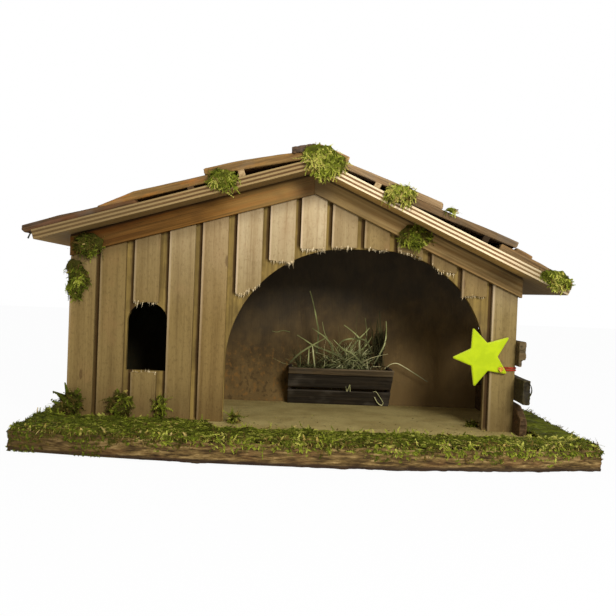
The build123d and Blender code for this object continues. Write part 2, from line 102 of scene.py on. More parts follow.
class Finish:
    def __init__(self, name, owner=None, **constants):
        self.material = owner or bpy.data.materials.new(name)
        self.material.use_nodes = True
        self.tree = self.material.node_tree
        self.shader = self.tree.nodes["Background" if owner else "Principled BSDF"]
        self.colour = None
        if not owner:
            constants = {"Specular_IOR_Level": 0.1, **constants}
        for socket, value in constants.items():
            self.feed(self.shader.inputs[socket.replace("_", " ")], value)

    # a tone of three values goes from 0 to 255
    def feed(self, socket, value):
        if isinstance(value, Wire):
            self.tree.links.new(value.socket, socket)
        elif socket.type == "RGBA" and len(value) == 3:
            socket.default_value = srgb(*value)
        else:
            socket.default_value = value

    # any node: its type, then its settings, then what goes into its sockets
    def node(self, kind, settings=None, sockets=None, out=0):
        made = self.tree.nodes.new("ShaderNode" + kind)
        for key, value in (settings or {}).items():
            if key == "stops":
                ramp = made.color_ramp.elements
                while len(ramp) < len(value):
                    ramp.new(1)
                for element, (position, tone) in zip(ramp, value):
                    element.position, element.color = position, srgb(*tone)
            else:
                setattr(made, key, value)
        for key, value in (sockets or {}).items():
            self.feed(made.inputs[key], value)
        return Wire(self, made.outputs[out])

    def maths(self, operation, *values):
        return self.node("Math", {"operation": operation}, dict(enumerate(values)))

    def blend(self, amount, first, second, way="MIX"):
        return self.node("Mix", {"data_type": "RGBA", "blend_type": way}, {0: amount, 6: first, 7: second}, 2)

    def between(self, value, low, high, atLow=0.0, atHigh=1.0):
        return self.node("MapRange", {"interpolation_type": "SMOOTHSTEP"},
                         {0: value, 1: low, 2: high, 3: atLow, 4: atHigh})

    # lays a tone over the colour so far, by an amount, or as a value goes from a start to its full and most
    def over(self, tone, amount, *span):
        if span:
            start, full, *most = span
            amount = self.between(amount, start, full, 0, *most)
        self.colour = self.blend(amount, self.colour, tone)

    def lay(self, *layers):
        for layer in layers:
            self.over(*layer)

    # a value that wanders either way with a noise
    def stirred(self, value, noise, much):
        return value + noise * (2 * much) - much

    # places on the object in millimetres, moved by a seed so that no two boards match
    def places(self, seed=0, turn=0.0):
        spot = self.node("TexCoord", out=3)
        spot = self.node("VectorMath", {"operation": "SCALE"}, {0: spot, "Scale": 1000})
        if turn:
            spot = self.node("VectorRotate", {"rotation_type": "Y_AXIS"}, {"Vector": spot, "Angle": turn})
        if seed:
            shift = (37.1 * seed, 53.3 * seed, 71.7 * seed)
            spot = self.node("VectorMath", {"operation": "ADD"}, {0: spot, 1: shift})
        return spot

    def noise(self, spot, sizes, detail=3, roughness=0.55):
        spot = self.node("VectorMath", {"operation": "DIVIDE"}, {0: spot, 1: sizes})
        sockets = {"Vector": spot, "Scale": 1, "Detail": detail, "Roughness": roughness}
        return self.node("TexNoise", {}, sockets)

    # several noises: three sizes in millimetres, then detail and roughness
    def noises(self, spot, *looks):
        return [self.noise(spot, look[:3], *look[3:]) for look in looks]

    def axis(self, spot, index):
        return self.node("SeparateXYZ", {}, {0: spot}, index)

    # 0 across the object, 1 deep, 2 up
    def place(self, index):
        return self.axis(self.places(), index)

    def normalAxis(self, index):
        return self.axis(self.node("NewGeometry", out=1), index)

    def pointed(self):
        return self.node("NewGeometry", out=7)

    # rays that see the background: straight from the camera, off a shiny face or through a clear one
    def seen(self):
        rays = [self.node("LightPath", out=f"Is {kind} Ray") for kind in ("Camera", "Glossy", "Transmission")]
        return self.maths("MAXIMUM", rays[0], self.maths("MAXIMUM", rays[1], rays[2]))

    def close(self, roughness, height=None, relief=0.5):
        self.feed(self.shader.inputs["Base Color"], self.colour)
        self.feed(self.shader.inputs["Roughness"], roughness)
        if height is not None:
            bump = self.node("Bump", {}, {"Height": height, "Strength": 1, "Distance": relief * mm})
            self.feed(self.shader.inputs["Normal"], bump)
        return self.material


# arrows of length one
def unit(ways):
    return ways / (np.linalg.norm(ways, axis=-1, keepdims=True) + 1e-9)


def eased(share):
    return share * share * (3 - 2 * share)


# how far along a line each of its points is
def lengths(line):
    return np.concatenate(([0], np.cumsum(np.linalg.norm(np.diff(line, axis=0), axis=1))))


# a scrambled whole number for each cell of a grid, and a value from -1 to 1 out of it
scramble = {"axes": np.array((73856093, 19349663, 83492791)), "seed": 7919, "first": 1274126177,
            "second": 668265263, "mask": 0x7FFFFFFF}


def cellKeys(cells, seed):
    keys = cells @ scramble["axes"] + seed * scramble["seed"]
    return ((keys ^ (keys >> 13)) * scramble["first"]) & scramble["mask"]


def signed(keys, shift):
    return (keys >> shift & 0xFFFF) / 32767.5 - 1


# smooth noise on points, from -1 to 1
def lattice(points, seed):
    cell = np.floor(points).astype(np.int64)
    part = eased(points - cell)
    total = np.zeros(len(points))
    for corner in range(8):
        step = np.array((corner & 1, corner >> 1 & 1, corner >> 2 & 1))
        keys = cellKeys(cell + step, seed)
        keys = ((keys ^ (keys >> 15)) * scramble["second"]) & scramble["mask"]
        total += signed(keys, 10) * np.prod(np.where(step == 1, part, 1 - part), axis=1)
    return total


def ragged(points, sizes, seed, layers=3):
    total, weight = 0, 0
    for layer in range(layers):
        strength = 0.5 ** layer
        total = total + strength * lattice(points * 2 ** layer / np.array(sizes), seed + 11 * layer)
        weight += strength
    return total / weight


def added(name, data):
    piece = bpy.data.objects.new(name, data)
    scene.collection.objects.link(piece)
    return piece


# the mesh that an object's modifiers or curves give; the object goes
def solved(piece):
    mesh = bpy.data.meshes.new_from_object(piece.evaluated_get(bpy.context.evaluated_depsgraph_get()))
    bpy.data.objects.remove(piece)
    return mesh


def facedMesh(name, points, faces):
    mesh = bpy.data.meshes.new(name)
    mesh.from_pydata((np.array(points) * mm).tolist(), [], faces)
    return mesh


def smooth(mesh):
    mesh.polygons.foreach_set("use_smooth", np.ones(len(mesh.polygons), bool))


def link(name, mesh, material, stands=(), body="stable"):
    piece = added(name, mesh)
    mesh.materials.clear()
    mesh.materials.append(material)
    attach(piece, body)
    if stands:
        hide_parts(*stands)
    return piece


# a CAD node keeps its shape and gets a finish and softened edges
def dress(name, material, edge=0.5):
    part = nodes[name]
    part.data.materials.clear()
    part.data.materials.append(material)
    part.modifiers.new("join", "WELD").merge_threshold = 0.00001
    bevel = part.modifiers.new("softEdge", "BEVEL")
    bevel.width, bevel.segments = edge * mm, 2
    bevel.limit_method, bevel.angle_limit = "ANGLE", math.radians(35)
    part.modifiers.new("evenNormals", "WEIGHTED_NORMAL").keep_sharp = False


# an even mesh over a CAD node, with its points and normals to work on
def evenMesh(name, cell):
    shape = bmesh.new()
    shape.from_mesh(nodes[name].data)
    bmesh.ops.remove_doubles(shape, verts=shape.verts, dist=1e-5)
    mesh = bpy.data.meshes.new("solid")
    shape.to_mesh(mesh)
    shape.free()
    piece = added("solid", mesh)
    remesh = piece.modifiers.new("even", "REMESH")
    remesh.mode, remesh.voxel_size = "VOXEL", cell * mm
    full = solved(piece)
    bpy.data.meshes.remove(mesh)
    points, normals = np.zeros((2, len(full.vertices) * 3))
    full.vertices.foreach_get("co", points)
    full.vertex_normals.foreach_get("vector", normals)
    return full, points.reshape(-1, 3) / mm, normals.reshape(-1, 3)


def setPoints(mesh, points):
    mesh.vertices.foreach_set("co", (points * mm).ravel())
    mesh.update()
    smooth(mesh)


# hewn or split wood: grooves along the grain, torn ends, uneven faces
hewnRuns = {"swell": (60, 22, 22), "torn": (1, 2.4, 2.4)}


def hewn(name, style, grain, seed):
    mesh, points, normals = evenMesh(name, style["cell"])
    along = unit(np.array(grain))
    side = unit(np.cross(along, (0.0, 1.0, 0.0) if abs(along[1]) < 0.9 else (0.0, 0.0, 1.0)))
    local = points @ np.stack((along, side, np.cross(along, side))).T
    groove = ragged(local, (style["run"], style["groove"], style["groove"]), seed)
    swell = ragged(local, hewnRuns["swell"], seed + 5, 2)
    torn = ragged(local * (0, 1, 1), hewnRuns["torn"], seed + 9, 2)
    points += normals * (groove * style["depth"] + swell * style["swell"] + style["grow"])[:, None]
    setPoints(mesh, points + along * (torn * style["torn"])[:, None])
    return mesh


# four-sided faces along a strip of paired points
def strip(count):
    return np.array([(2 * k, 2 * k + 1, 2 * k + 3, 2 * k + 2) for k in range(count)])


# short blades that grow from roots along ways, each with its own tone
bladeLook = {"taper": 0.36, "foot": 0.04, "rise": 0.92, "toneStep": 0.015}


def blades(roots, ways, tones, style, rng, side=None):
    count, steps = len(roots), style["steps"]
    length = rng.uniform(*style["length"], count)[:, None]
    width = rng.uniform(*style["width"], count)[:, None]
    if side is None:
        side = np.cross(ways, rng.normal(size=(count, 3)))
    side = unit(side)
    bend = rng.normal(size=(count, 3)) * style["curl"]
    rows, maps = [], []
    for step in range(steps + 1):
        share = step / steps
        middle = roots + length * (ways * share + bend * share ** 2)
        middle[:, 2:] -= style["droop"] * length * share ** 2
        half = side * width * (0.5 - bladeLook["taper"] * share ** 1.5)
        rows += [middle - half, middle + half]
        height = np.full(count, bladeLook["foot"] + bladeLook["rise"] * share)
        maps += [np.stack((tones + add, height), 1) for add in (0, bladeLook["toneStep"])]
    first = np.arange(count)[:, None, None] * (2 * steps + 2)
    points, maps = np.stack(rows, 1).reshape(-1, 3), np.stack(maps, 1).reshape(-1, 2)
    return points, (first + strip(steps)).reshape(-1, 4), maps


# one mesh from several lots of points, four-sided faces and colour maps (one map place for each point)
def joined(name, lots):
    firsts = np.cumsum([0] + [len(lot[0]) for lot in lots])
    points, maps = (np.concatenate([lot[k] for lot in lots]) for k in (0, 2))
    quads = np.concatenate([lot[1] + first for lot, first in zip(lots, firsts)])
    mesh = bpy.data.meshes.new(name)
    mesh.vertices.add(len(points))
    mesh.vertices.foreach_set("co", (points * mm).ravel())
    mesh.loops.add(quads.size)
    mesh.loops.foreach_set("vertex_index", quads.ravel())
    mesh.polygons.add(len(quads))
    mesh.polygons.foreach_set("loop_start", np.arange(0, quads.size, 4))
    mesh.update(calc_edges=True)
    mesh.uv_layers.new(name="OFBake").data.foreach_set("uv", maps[quads.ravel()].ravel())
    smooth(mesh)
    return mesh


# sawn battens, grain upright; pale, mid and dark are tones low and high on the wall, the last three go
# from the left batten to the right one
battenLook = {
    "pale": ((140, 117, 70), (198, 177, 138)), "mid": ((121, 99, 57), (180, 156, 116)),
    "dark": ((90, 71, 40), (146, 118, 80)), "fade": (105, 225), "blotch": (150, 112, 72),
    # edge: the tone of a painted highlight along each batten's left side
    "knot": (80, 56, 32), "knotSizes": (21, 30, 74), "edge": (222, 196, 160),
    # the next tone and span make the battens darker towards their foot
    "grime": (66, 46, 18), "grimeSpan": (64, 20, 0.36),
    "shadow": (74, 54, 30), "shadowSpan": (15, 0, 0.42), "bargeDrop": {"left": 19.8, "right": 19.1},
    "paling": (0.2, 0.0, 0.2, 0.45, 0.55, 0.9, 0.88, 1.0, 0.5, 0.12, 0.12, 0.15, 0.2, 0.75),
    "tones": (0.94, 0.89, 0.94, 0.99, 0.97, 1.0, 0.97, 1.03, 1.0, 1.0, 0.9, 0.86, 0.94, 1.02),
    "warmth": (0.2, 0.2, 0.1, 0.1, 0.9, 0.1, 0.2, 0, 0.2, 0.3, 0.3, 0.4, 0.3, -0.9),
}


def battenWood(name, seed):
    low, high = boxOf(name)
    side = "right" if low[0] + high[0] > 0 else "left"
    number = int(name.split("_")[1])
    paling, tone, warmth = (battenLook[key][number - 1] for key in ("paling", "tones", "warmth"))
    f = Finish("sawnBatten" + name[-2:])
    spot, across, up = f.places(seed), f.place(0), f.place(2)
    broad, streak, fibre, pore, mottle, blotch = f.noises(
        spot, (8, 8, 190, 2), (1.5, 1.5, 85, 4, 0.6), (0.45, 0.45, 12, 2), (0.5, 0.5, 3.2, 2, 0.6),
        (2.6, 2.6, 3.6, 3, 0.62), (26, 26, 34, 3))
    knotSpot = f.node("VectorMath", {"operation": "DIVIDE"}, {0: spot, 1: battenLook["knotSizes"]})
    knot = f.node("TexVoronoi", {}, {"Vector": knotSpot, "Scale": 1})
    rise = f.between(f.stirred(up, blotch, 25), *battenLook["fade"], 0, paling)
    pale, mid, dark = (f.blend(rise, *battenLook[key]) for key in ("pale", "mid", "dark"))
    f.colour = f.blend(f.between(broad, 0.3, 0.7), mid, pale)
    f.lay(
        (dark, streak, 0.52, 0.72, 0.45), (dark, fibre, 0.55, 0.75, 0.25), (dark, pore, 0.6, 0.7, 0.5),
        (pale, pore, 0.4, 0.3, 0.25), (battenLook["blotch"], blotch, 0.52, 0.75, 0.25),
        (battenLook["knot"], knot, 0.085, 0.05, 0.6), (dark, mottle, 0.54, 0.68, 0.32),
        (pale, mottle, 0.46, 0.32, 0.28))
    # painted highlight: each batten's left edge lighter, more so higher up
    edgeHighlight = f.between(f.stirred(across, blotch, 0.8), low[0] + 1.2, low[0] + 2.6, 0.12 + 0.42 * paling, 0)
    f.lay(
        (battenLook["edge"], edgeHighlight * f.between(up, 60, 150, 0.35, 1)),
        # darker towards the foot of each batten
        (battenLook["grime"], f.stirred(up, blotch, 8), *battenLook["grimeSpan"]))
    under = soffitPeak - battenLook["bargeDrop"][side] - abs(across) * math.tan(tilts[side]) - up
    f.over(battenLook["shadow"], f.stirred(under, blotch, 4), *battenLook["shadowSpan"])
    tint = (tone, tone * (1 - 0.05 * warmth), tone * (1 - 0.1 * warmth), 1)
    f.colour = f.blend(1.0, f.colour, tint, "MULTIPLY")
    return f.close(f.between(fibre, 0.3, 0.7, 0.62, 0.82), streak * 0.6 + fibre * 0.4, 0.5)


battenNames = sorted(n for n in nodes if n.startswith("batten_"))
# painted shadow on the ply along the left side of each batten, as if cast by the batten
cornerShadow = {"wide": 3.9, "full": 2.6, "firstWider": 3.5, "much": 0.8, "tone": (52, 30, 13)}
# thin plywood: painted shade high on the back wall under the roof, painted shade on the right leg, painted
# light at the back wall's right end and painted shade in the room behind the window
plyLooks = {
    "front_wall": {
        "title": "frontPly", "seed": 5, "tones": ((144, 120, 65), (112, 91, 49)),
        "corners": [boxOf(n)[0][::2] for n in battenNames if not n.endswith("upper")][1:],
        # painted shade on the right leg
        "patches": ({"x": (150, 166), "z": (140, 105), "much": 0.62, "tone": (82, 69, 48)},)},
    "back_wall": {
        "title": "backPly", "seed": 8, "tones": ((104, 83, 49), (88, 69, 40)), "grain": (16, 16, 34),
        "outer": ((172, 140, 96), (140, 108, 70)),
        # the next entry is painted shade high up on the wall, under the roof
        "soot": {"heights": (70, 150), "lean": 0.1, "much": 0.64, "tone": (49, 50, 48)},
        "flecks": {"size": (5, 5, 6), "x": (40, -10), "z": (95, 55), "much": 0.5, "warm": (142, 100, 48),
                   "deep": (58, 46, 28)},
        # painted light on the right part of the wall
        "patches": ({"x": (60, 120), "z": (110, 60), "much": 0.35, "tone": (136, 110, 70)},
                    # painted shade in the room behind the window
                    {"x": (-100, -112), "z": (0, 1), "much": 0.85, "tone": (44, 46, 32)})},
    "left_wall": {"title": "leftPly", "seed": 11, "tones": ((150, 118, 78), (108, 80, 50))},
    "partition_wall": {"title": "innerPly", "seed": 14, "tones": ((112, 88, 56), (80, 60, 36))},
}


def thinPly(look):
    f = Finish(look["title"])
    pale, dark = look["tones"]
    spot, across, up = f.places(look["seed"]), f.place(0), f.place(2)
    streak = f.noise(spot, look.get("grain", (3, 3, 110)), 4, 0.6)
    fibre, stain, cloud = f.noises(spot, (0.6, 0.6, 14, 2), (48, 48, 60, 3), (17, 17, 22, 4, 0.6))
    f.colour = f.blend(f.between(streak, 0.35, 0.68), pale, dark)
    f.lay(
        (shaded(dark, 0.62), stain, 0.45, 0.7, 0.45), (shaded(dark, 0.7), cloud, 0.5, 0.68, 0.35),
        (shaded(pale, 1.25), cloud, 0.45, 0.3, 0.3), (shaded(dark, 0.5), fibre, 0.55, 0.75, 0.3),
        (shaded(pale, 1.3), f.stirred(up, cloud, 20), 75, 20, 0.4))
    # painted shade high up on the wall, under the roof
    if "soot" in look:
        soot = look["soot"]
        f.over(soot["tone"], f.stirred(up - across * soot["lean"], cloud, 20), *soot["heights"], soot["much"])
    if "flecks" in look:
        flecks = look["flecks"]
        fleck = f.noise(spot, flecks["size"], 3, 0.62)
        where = f.between(across, *flecks["x"]) * f.between(up, *flecks["z"], 0, flecks["much"])
        f.over(flecks["warm"], f.between(fleck, 0.54, 0.66) * where)
        f.over(flecks["deep"], f.between(fleck, 0.46, 0.34) * where)
    # patches of painted light and painted shade
    for patch in look.get("patches", ()):
        where = f.between(f.stirred(across, cloud, 10), *patch["x"])
        f.over(patch["tone"], where * f.between(up, *patch["z"], 0, patch["much"]))
    if "outer" in look:
        inside, bare = f.colour, look["outer"]
        f.colour = f.blend(f.between(f.noise(spot, (2.6, 2.6, 120), 4, 0.6), 0.38, 0.66), *bare)
        f.over(shaded(bare[1], 0.7), fibre, 0.58, 0.75, 0.3)
        f.colour = f.blend(f.normalAxis(1) > 0.5, inside, f.colour)
    across = f.stirred(across, cloud, 0.6)
    # painted shadow along the left side of each batten
    for order, (corner, foot) in enumerate(look.get("corners", ())):
        start = corner - (0 if order else cornerShadow["firstWider"])
        castShade = f.between(across, start - cornerShadow["wide"], start - cornerShadow["full"])
        castShade = castShade * (across < corner + 1) * f.between(up, foot - 1, foot + 4, 0, cornerShadow["much"])
        f.over(cornerShadow["tone"], castShade)
    return f.close(0.78, streak * 0.5 + fibre * 0.5, 0.35)


# stained boards under the roof, grain along the slope; dim is how much darker they get towards the eave
bargeLook = {
    "left": {"seed": 4, "dim": 0.5, "tones": ((142, 97, 38), (102, 68, 24)), "warm": (146, 84, 20),
             "olive": (150, 124, 74)},
    "right": {"seed": 9, "dim": 0.2, "tones": ((156, 128, 79), (116, 91, 52)), "warm": (142, 107, 60),
              "olive": (150, 124, 76)},
    # ridge: the tone of a painted shadow under the ridge moss on the barges
    "ridge": (58, 44, 30), "shadow": (26, 16, 6),
}


def bargeStain(side, way):
    look, tilt = bargeLook[side], tilts[side]
    pale, dark = look["tones"]
    f = Finish("barge" + side.title())
    spot, across = f.places(look["seed"], -way * tilt), abs(f.place(0))
    streak, broad, fibre, patch = f.noises(
        spot, (120, 2.2, 2.2, 4, 0.6), (150, 7, 7, 2), (16, 0.5, 0.5, 2), (42, 20, 20, 2))
    f.colour = f.blend(f.between(streak, 0.35, 0.66), pale, dark)
    f.lay(
        (look["warm"], broad, 0.45, 0.62, 0.6), (shaded(dark, 0.6), patch, 0.5, 0.7, 0.4),
        (shaded(dark, 0.5), fibre, 0.56, 0.74, 0.3),
        (look["olive"], f.stirred(across, patch, 30), 120, 20, 0.45),
        ((0, 0, 0), across, 60, 190, look["dim"]),
        # painted shadow under the ridge moss
        (bargeLook["ridge"], f.stirred(across, patch, 10), 30, 6, 0.55),
        (bargeLook["shadow"], soffitPeak - across * math.tan(tilt) - f.place(2), 3.2, 1.2, 0.75))
    return f.close(f.between(streak, 0.3, 0.7, 0.5, 0.72), streak * 0.6 + fibre * 0.4, 0.4)


# roof plywood: five layers on its cut edges, stained faces, everything duller towards the eaves
roofLook = {
    "thickness": 9, "layers": 5, "top": ((96, 74, 50), (58, 43, 29)), "topPatch": (70, 60, 46),
    # under: paler than the ply's own tone, painted light from below
    "under": ((190, 154, 92), (160, 126, 72)), "fibre": (150, 112, 68), "pore": (92, 62, 36),
    # the right panel's cut edges are painted far paler than the left's: painted light from the lamp on the
    # right
    "left": {"seed": 2, "layers": ((156, 131, 87), (90, 66, 38))},
    "right": {"seed": 7, "layers": ((244, 220, 178), (124, 92, 58))},
}


def roofPly(side, way):
    look, tilt = roofLook[side], tilts[side]
    f = Finish("roofPly" + side.title())
    spot, across = f.places(look["seed"], -way * tilt), f.place(0)
    wobble, fibre, pore, streak, patch = f.noises(
        spot, (30, 30, 30, 2), (26, 26, 0.6, 3), (1.4, 1.4, 0.7, 2), (110, 4, 4, 4, 0.6), (34, 34, 34, 3))
    rise = f.place(2) - soffitPeak + abs(across) * math.tan(tilt)
    layer = f.stirred(rise * math.cos(tilt), wobble, 0.25) * (roofLook["layers"] / roofLook["thickness"])
    inner = f.between(abs(layer % 2 - 0.5), 0.42, 0.6)
    # underside: paler than the ply as painted light from below; darker from the left wall inwards as painted
    # shade, and darker at its right end
    f.colour = f.blend(f.between(streak, 0.35, 0.68), *roofLook["under"])
    f.lay(
        ((84, 71, 47), across, 185, 206, 0.7),
        ((84, 71, 48), f.between(across, -258, -228, 0, 0.6) * (across < 0)))
    under = f.colour
    f.colour = f.blend(f.between(streak, 0.35, 0.68), *roofLook["top"])
    f.lay((roofLook["topPatch"], patch, 0.45, 0.7, 0.5), (under, f.normalAxis(2) < -0.6))
    face = f.colour
    f.colour = f.blend(inner, *look["layers"])
    f.lay(
        (roofLook["fibre"], fibre, 0.5, 0.7, 0.45), (roofLook["pore"], pore, 0.6, 0.75, 0.4),
        ((104, 92, 58), across, 165, 215, 0.6), ((92, 76, 48), across, -90, -200, 0.45),
        (face, abs(f.normalAxis(2)) > 0.7))
    return f.close(0.75, fibre * 0.5 + inner * -0.3, 0.4)


# split shingles, fence boards and manger: pale, dark and warm tones; endDim darkens the sawn front ends
def splitWood(name, seed, turn, tones, endDim=0):
    pale, dark, warm = tones
    f = Finish(name)
    spot = f.places(seed, turn)
    streak, broad, fibre, grey = f.noises(
        spot, (60, 1.8, 1.8, 4, 0.62), (40, 15, 9, 3), (9, 0.5, 0.5, 2), (30, 26, 26, 2))
    f.colour = f.blend(f.between(streak, 0.33, 0.66), pale, dark)
    f.lay(
        (warm, broad, 0.5, 0.68, 0.7), ((112, 104, 92), grey, 0.52, 0.7, 0.35),
        (shaded(dark, 0.45), fibre, 0.55, 0.75, 0.35))
    if endDim:
        f.over(shaded(dark, 0.45), f.normalAxis(1), -0.6, -0.9, endDim)
    # sharp edges lighter; hollows darker as painted shade
    f.lay(
        (shaded(pale, 1.25), f.pointed(), 0.5, 0.58, 0.45), (shaded(dark, 0.4), f.pointed(), 0.5, 0.42, 0.7))
    return f.close(f.between(streak, 0.3, 0.7, 0.66, 0.86), streak * 0.5 + fibre * 0.5, 0.6)


# lath ends: pale near the ridge, darker lower down as painted shade
def lathWood(name, seed, far):
    f = Finish(name)
    streak = f.noise(f.places(seed), (3, 60, 1.5), 4, 0.6)
    f.colour = f.blend(f.between(streak, 0.35, 0.66), (190, 162, 118), (150, 120, 80))
    # painted shade on the lower laths
    f.over(far, abs(f.place(0)), 80, 95)
    return f.close(0.8, streak, 0.4)


def barkSkin(name, seed, isFront):
    f = Finish(name)
    spot = f.places(seed)
    flake = f.noise(spot, (16, 3, 2.2) if isFront else (3, 16, 2.2), 4, 0.62)
    patch = f.noise(spot, (34, 8, 9) if isFront else (8, 34, 9), 3)
    fine = f.noise(spot, (1.2, 1.2, 0.7), 3)
    stops = (0.28, (34, 25, 14)), (0.42, (74, 57, 32)), (0.54, (116, 93, 53)), (0.7, (168, 140, 90))
    f.colour = f.node("ValToRGB", {"stops": stops}, {0: flake})
    f.lay(
        ((108, 74, 44), patch, 0.5, 0.68, 0.4), ((58, 42, 30), fine, 0.52, 0.72, 0.45),
        # hollows darker as painted shade, and the lower edge darker as painted shadow under the bark
        ((34, 25, 19), f.pointed(), 0.5, 0.4, 0.75), ((44, 33, 27), f.place(2), 5.5, 2.5, 0.85),
        ((66, 50, 25), f.place(0), -130, -230, 0.5))
    return f.close(0.88, flake * 0.6 + fine * 0.4, 0.8)


def sandFloor():
    f = Finish("sandFloor")
    spot = f.places(3)
    cloud, grain, specks, spill = f.noises(
        spot, (38, 38, 38, 4), (0.9, 0.9, 0.9, 2), (1.9, 1.9, 1.9, 2, 0.6), (9, 9, 9, 3))
    f.colour = f.blend(f.between(cloud, 0.35, 0.65), (206, 186, 120), (180, 159, 98))
    f.lay(
        ((116, 99, 61), grain, 0.4, 0.65, 0.45), ((116, 98, 64), spill, 0.58, 0.74, 0.4),
        ((62, 48, 30), specks, 0.68, 0.74, 0.85), ((196, 180, 134), specks, 0.3, 0.25, 0.6))
    edge = f.noise(f.places(4), (60, 60, 2), 3)
    slab = f.blend(f.between(edge, 0.4, 0.65), (150, 122, 84), (104, 80, 54))
    f.colour = f.blend(f.normalAxis(2) > 0.6, slab, f.colour)
    return f.close(0.92, grain * 0.6 + specks * 0.4, 0.5)


# strands take their colour from their own map: tone across, root to tip upwards
def strandTones(name, stops, rootShade, roughness):
    f = Finish(name, Specular_IOR_Level=0.05)
    spot = f.node("UVMap", {"uv_map": "OFBake"})
    tone = f.node("ValToRGB", {"stops": stops}, {0: f.axis(spot, 0)})
    f.colour = f.blend(f.between(f.axis(spot, 1), 0, 0.75), rootShade, tone)
    return f.close(roughness)


# thread, and the torn fibres of sawn ends
def threadFinish(name, bright, deep, seed):
    f = Finish(name)
    spot = f.places(seed)
    fuzz = f.noise(spot, (0.5, 0.5, 0.5), 2)
    f.colour = f.blend(f.between(f.noise(spot, (5, 5, 5), 2), 0.35, 0.65), bright, deep)
    f.over(shaded(deep, 0.6), fuzz, 0.5, 0.7, 0.4)
    return f.close(0.6, fuzz, 0.15)


print("stage: finishes ready")

# base board, walls, roof panels and barges keep their CAD shapes
dress("base_board", sandFloor(), 1.0)
for name, look in plyLooks.items():
    dress(name, thinPly(look), 0.3)
for side, way in sides.items():
    dress(f"roof_panel_{side}", roofPly(side, way), 0.4)
    dress(f"barge_{side}", bargeStain(side, way), 0.6)
for order, name in enumerate(battenNames):
    dress(name, battenWood(name, order + 1))
print("stage: walls, roof panels, barges and", len(battenNames), "battens dressed")

# split shingles in three courses a side, laths and ridge boards
shingleStyle = {"cell": 0.95, "run": 46, "groove": 2.6, "depth": 0.7, "swell": 0.5, "torn": 1.6, "grow": 0.3}
shingleLook = {
    "left": {"grow": 0.9, "seed": 20, "lathFar": (84, 63, 40), "courses": {
        "low": ((92, 69, 44), (56, 41, 27), (104, 64, 34)),
        "mid": ((136, 104, 58), (94, 69, 38), (178, 108, 34)),
        "top": ((142, 110, 64), (100, 75, 44), (156, 110, 54))},
        "ridge": ((92, 70, 50), (58, 44, 32), (104, 72, 44))},
    "right": {"grow": 0.3, "seed": 70, "lathFar": (50, 37, 23), "courses": {
        "low": ((136, 108, 70), (86, 66, 42), (130, 94, 54)),
        "mid": ((124, 100, 70), (84, 66, 44), (116, 87, 55)),
        "top": ((160, 132, 95), (118, 93, 63), (148, 112, 72))},
        "ridge": ((176, 142, 98), (128, 96, 60), (160, 116, 70))},
}
for side, way in sides.items():
    look, tilt, title = shingleLook[side], tilts[side], side.title()
    slope = (way * math.cos(tilt), 0, -math.sin(tilt))
    for order, (course, tones) in enumerate(look["courses"].items()):
        name = f"shingles_{side}_{course}"
        mesh = hewn(name, dict(shingleStyle, grow=look["grow"]), slope, look["seed"] + 7 * order)
        material = splitWood("splitShingle" + title + course.title(), 3 + order + 5 * way, -way * tilt, tones)
        link(name + "_split", mesh, material, (name,))
    mesh = hewn(f"ridge_board_{side}", shingleStyle, (0, 1, 0), 90 + way)
    material = splitWood("ridgeWood" + title, 30 + way, 0, look["ridge"])
    link(f"ridge_board_{side}_split", mesh, material, (f"ridge_board_{side}",))
    dress(f"roof_laths_{side}", lathWood("lathWood" + title, 40 + way, look["lathFar"]), 0.4)
print("stage: shingles split")

# rough dark boards of the side fence; the top edges of two climb towards the back: from, to and by how much
fenceStyle = {"cell": 1.1, "run": 40, "groove": 3.0, "depth": 0.6, "swell": 0.5, "torn": 1.2, "grow": 0}
fenceLook = {
    "low": {"tones": ((98, 75, 48), (64, 48, 30), (104, 73, 45)), "endDim": 0.3, "climb": (20, 110, 3.3)},
    "mid": {"tones": ((76, 67, 43), (50, 44, 29), (78, 67, 42)), "endDim": 0.7},
    "top": {"tones": ((104, 88, 60), (68, 57, 39), (108, 87, 57)), "endDim": 0, "climb": (30, 112, 4.6)},
}


def climbed(mesh, name, start, full, most):
    low, high = boxOf(name)
    middle = (low[2] + high[2]) / 2
    for point in mesh.vertices:
        back = (point.co.y / mm - start) / (full - start)
        upper = (point.co.z / mm - middle) / (high[2] - middle)
        point.co.z += most * mm * min(max(back, 0), 1) * min(max(upper, 0), 1)


for order, (level, look) in enumerate(fenceLook.items()):
    name = f"fence_board_{level}"
    mesh = hewn(name, fenceStyle, (0, 1, 0), 120 + order)
    if "climb" in look:
        climbed(mesh, name, *look["climb"])
    material = splitWood("fenceWood" + level.title(), 50 + order, 0, look["tones"], look["endDim"])
    link(name + "_hewn", mesh, material, (name,))

mangerStyle = {"cell": 0.9, "run": 50, "groove": 2.4, "depth": 0.35, "swell": 0.3, "torn": 0.5, "grow": 0}
mangerEnd = (62, 52, 44), (40, 33, 28), (70, 54, 42)
mangerTones = {
    "manger_end_left": mangerEnd,
    "manger_end_right": mangerEnd,
    "manger_floor": ((60, 50, 42), (40, 33, 28), (66, 52, 42)),
    "manger_slats": ((58, 51, 41), (38, 33, 27), (60, 51, 39)),
    "manger_rail": ((106, 91, 68), (71, 60, 45), (108, 90, 65)),
}
for order, (name, tones) in enumerate(mangerTones.items()):
    mesh = hewn(name, mangerStyle, (0, 0, 1) if "end" in name else (1, 0, 0), 140 + order)
    material = splitWood(name.replace("_", "") + "Wood", 60 + order, 0, tones)
    link(name + "_hewn", mesh, material, (name,))
print("stage: fence and manger hewn")

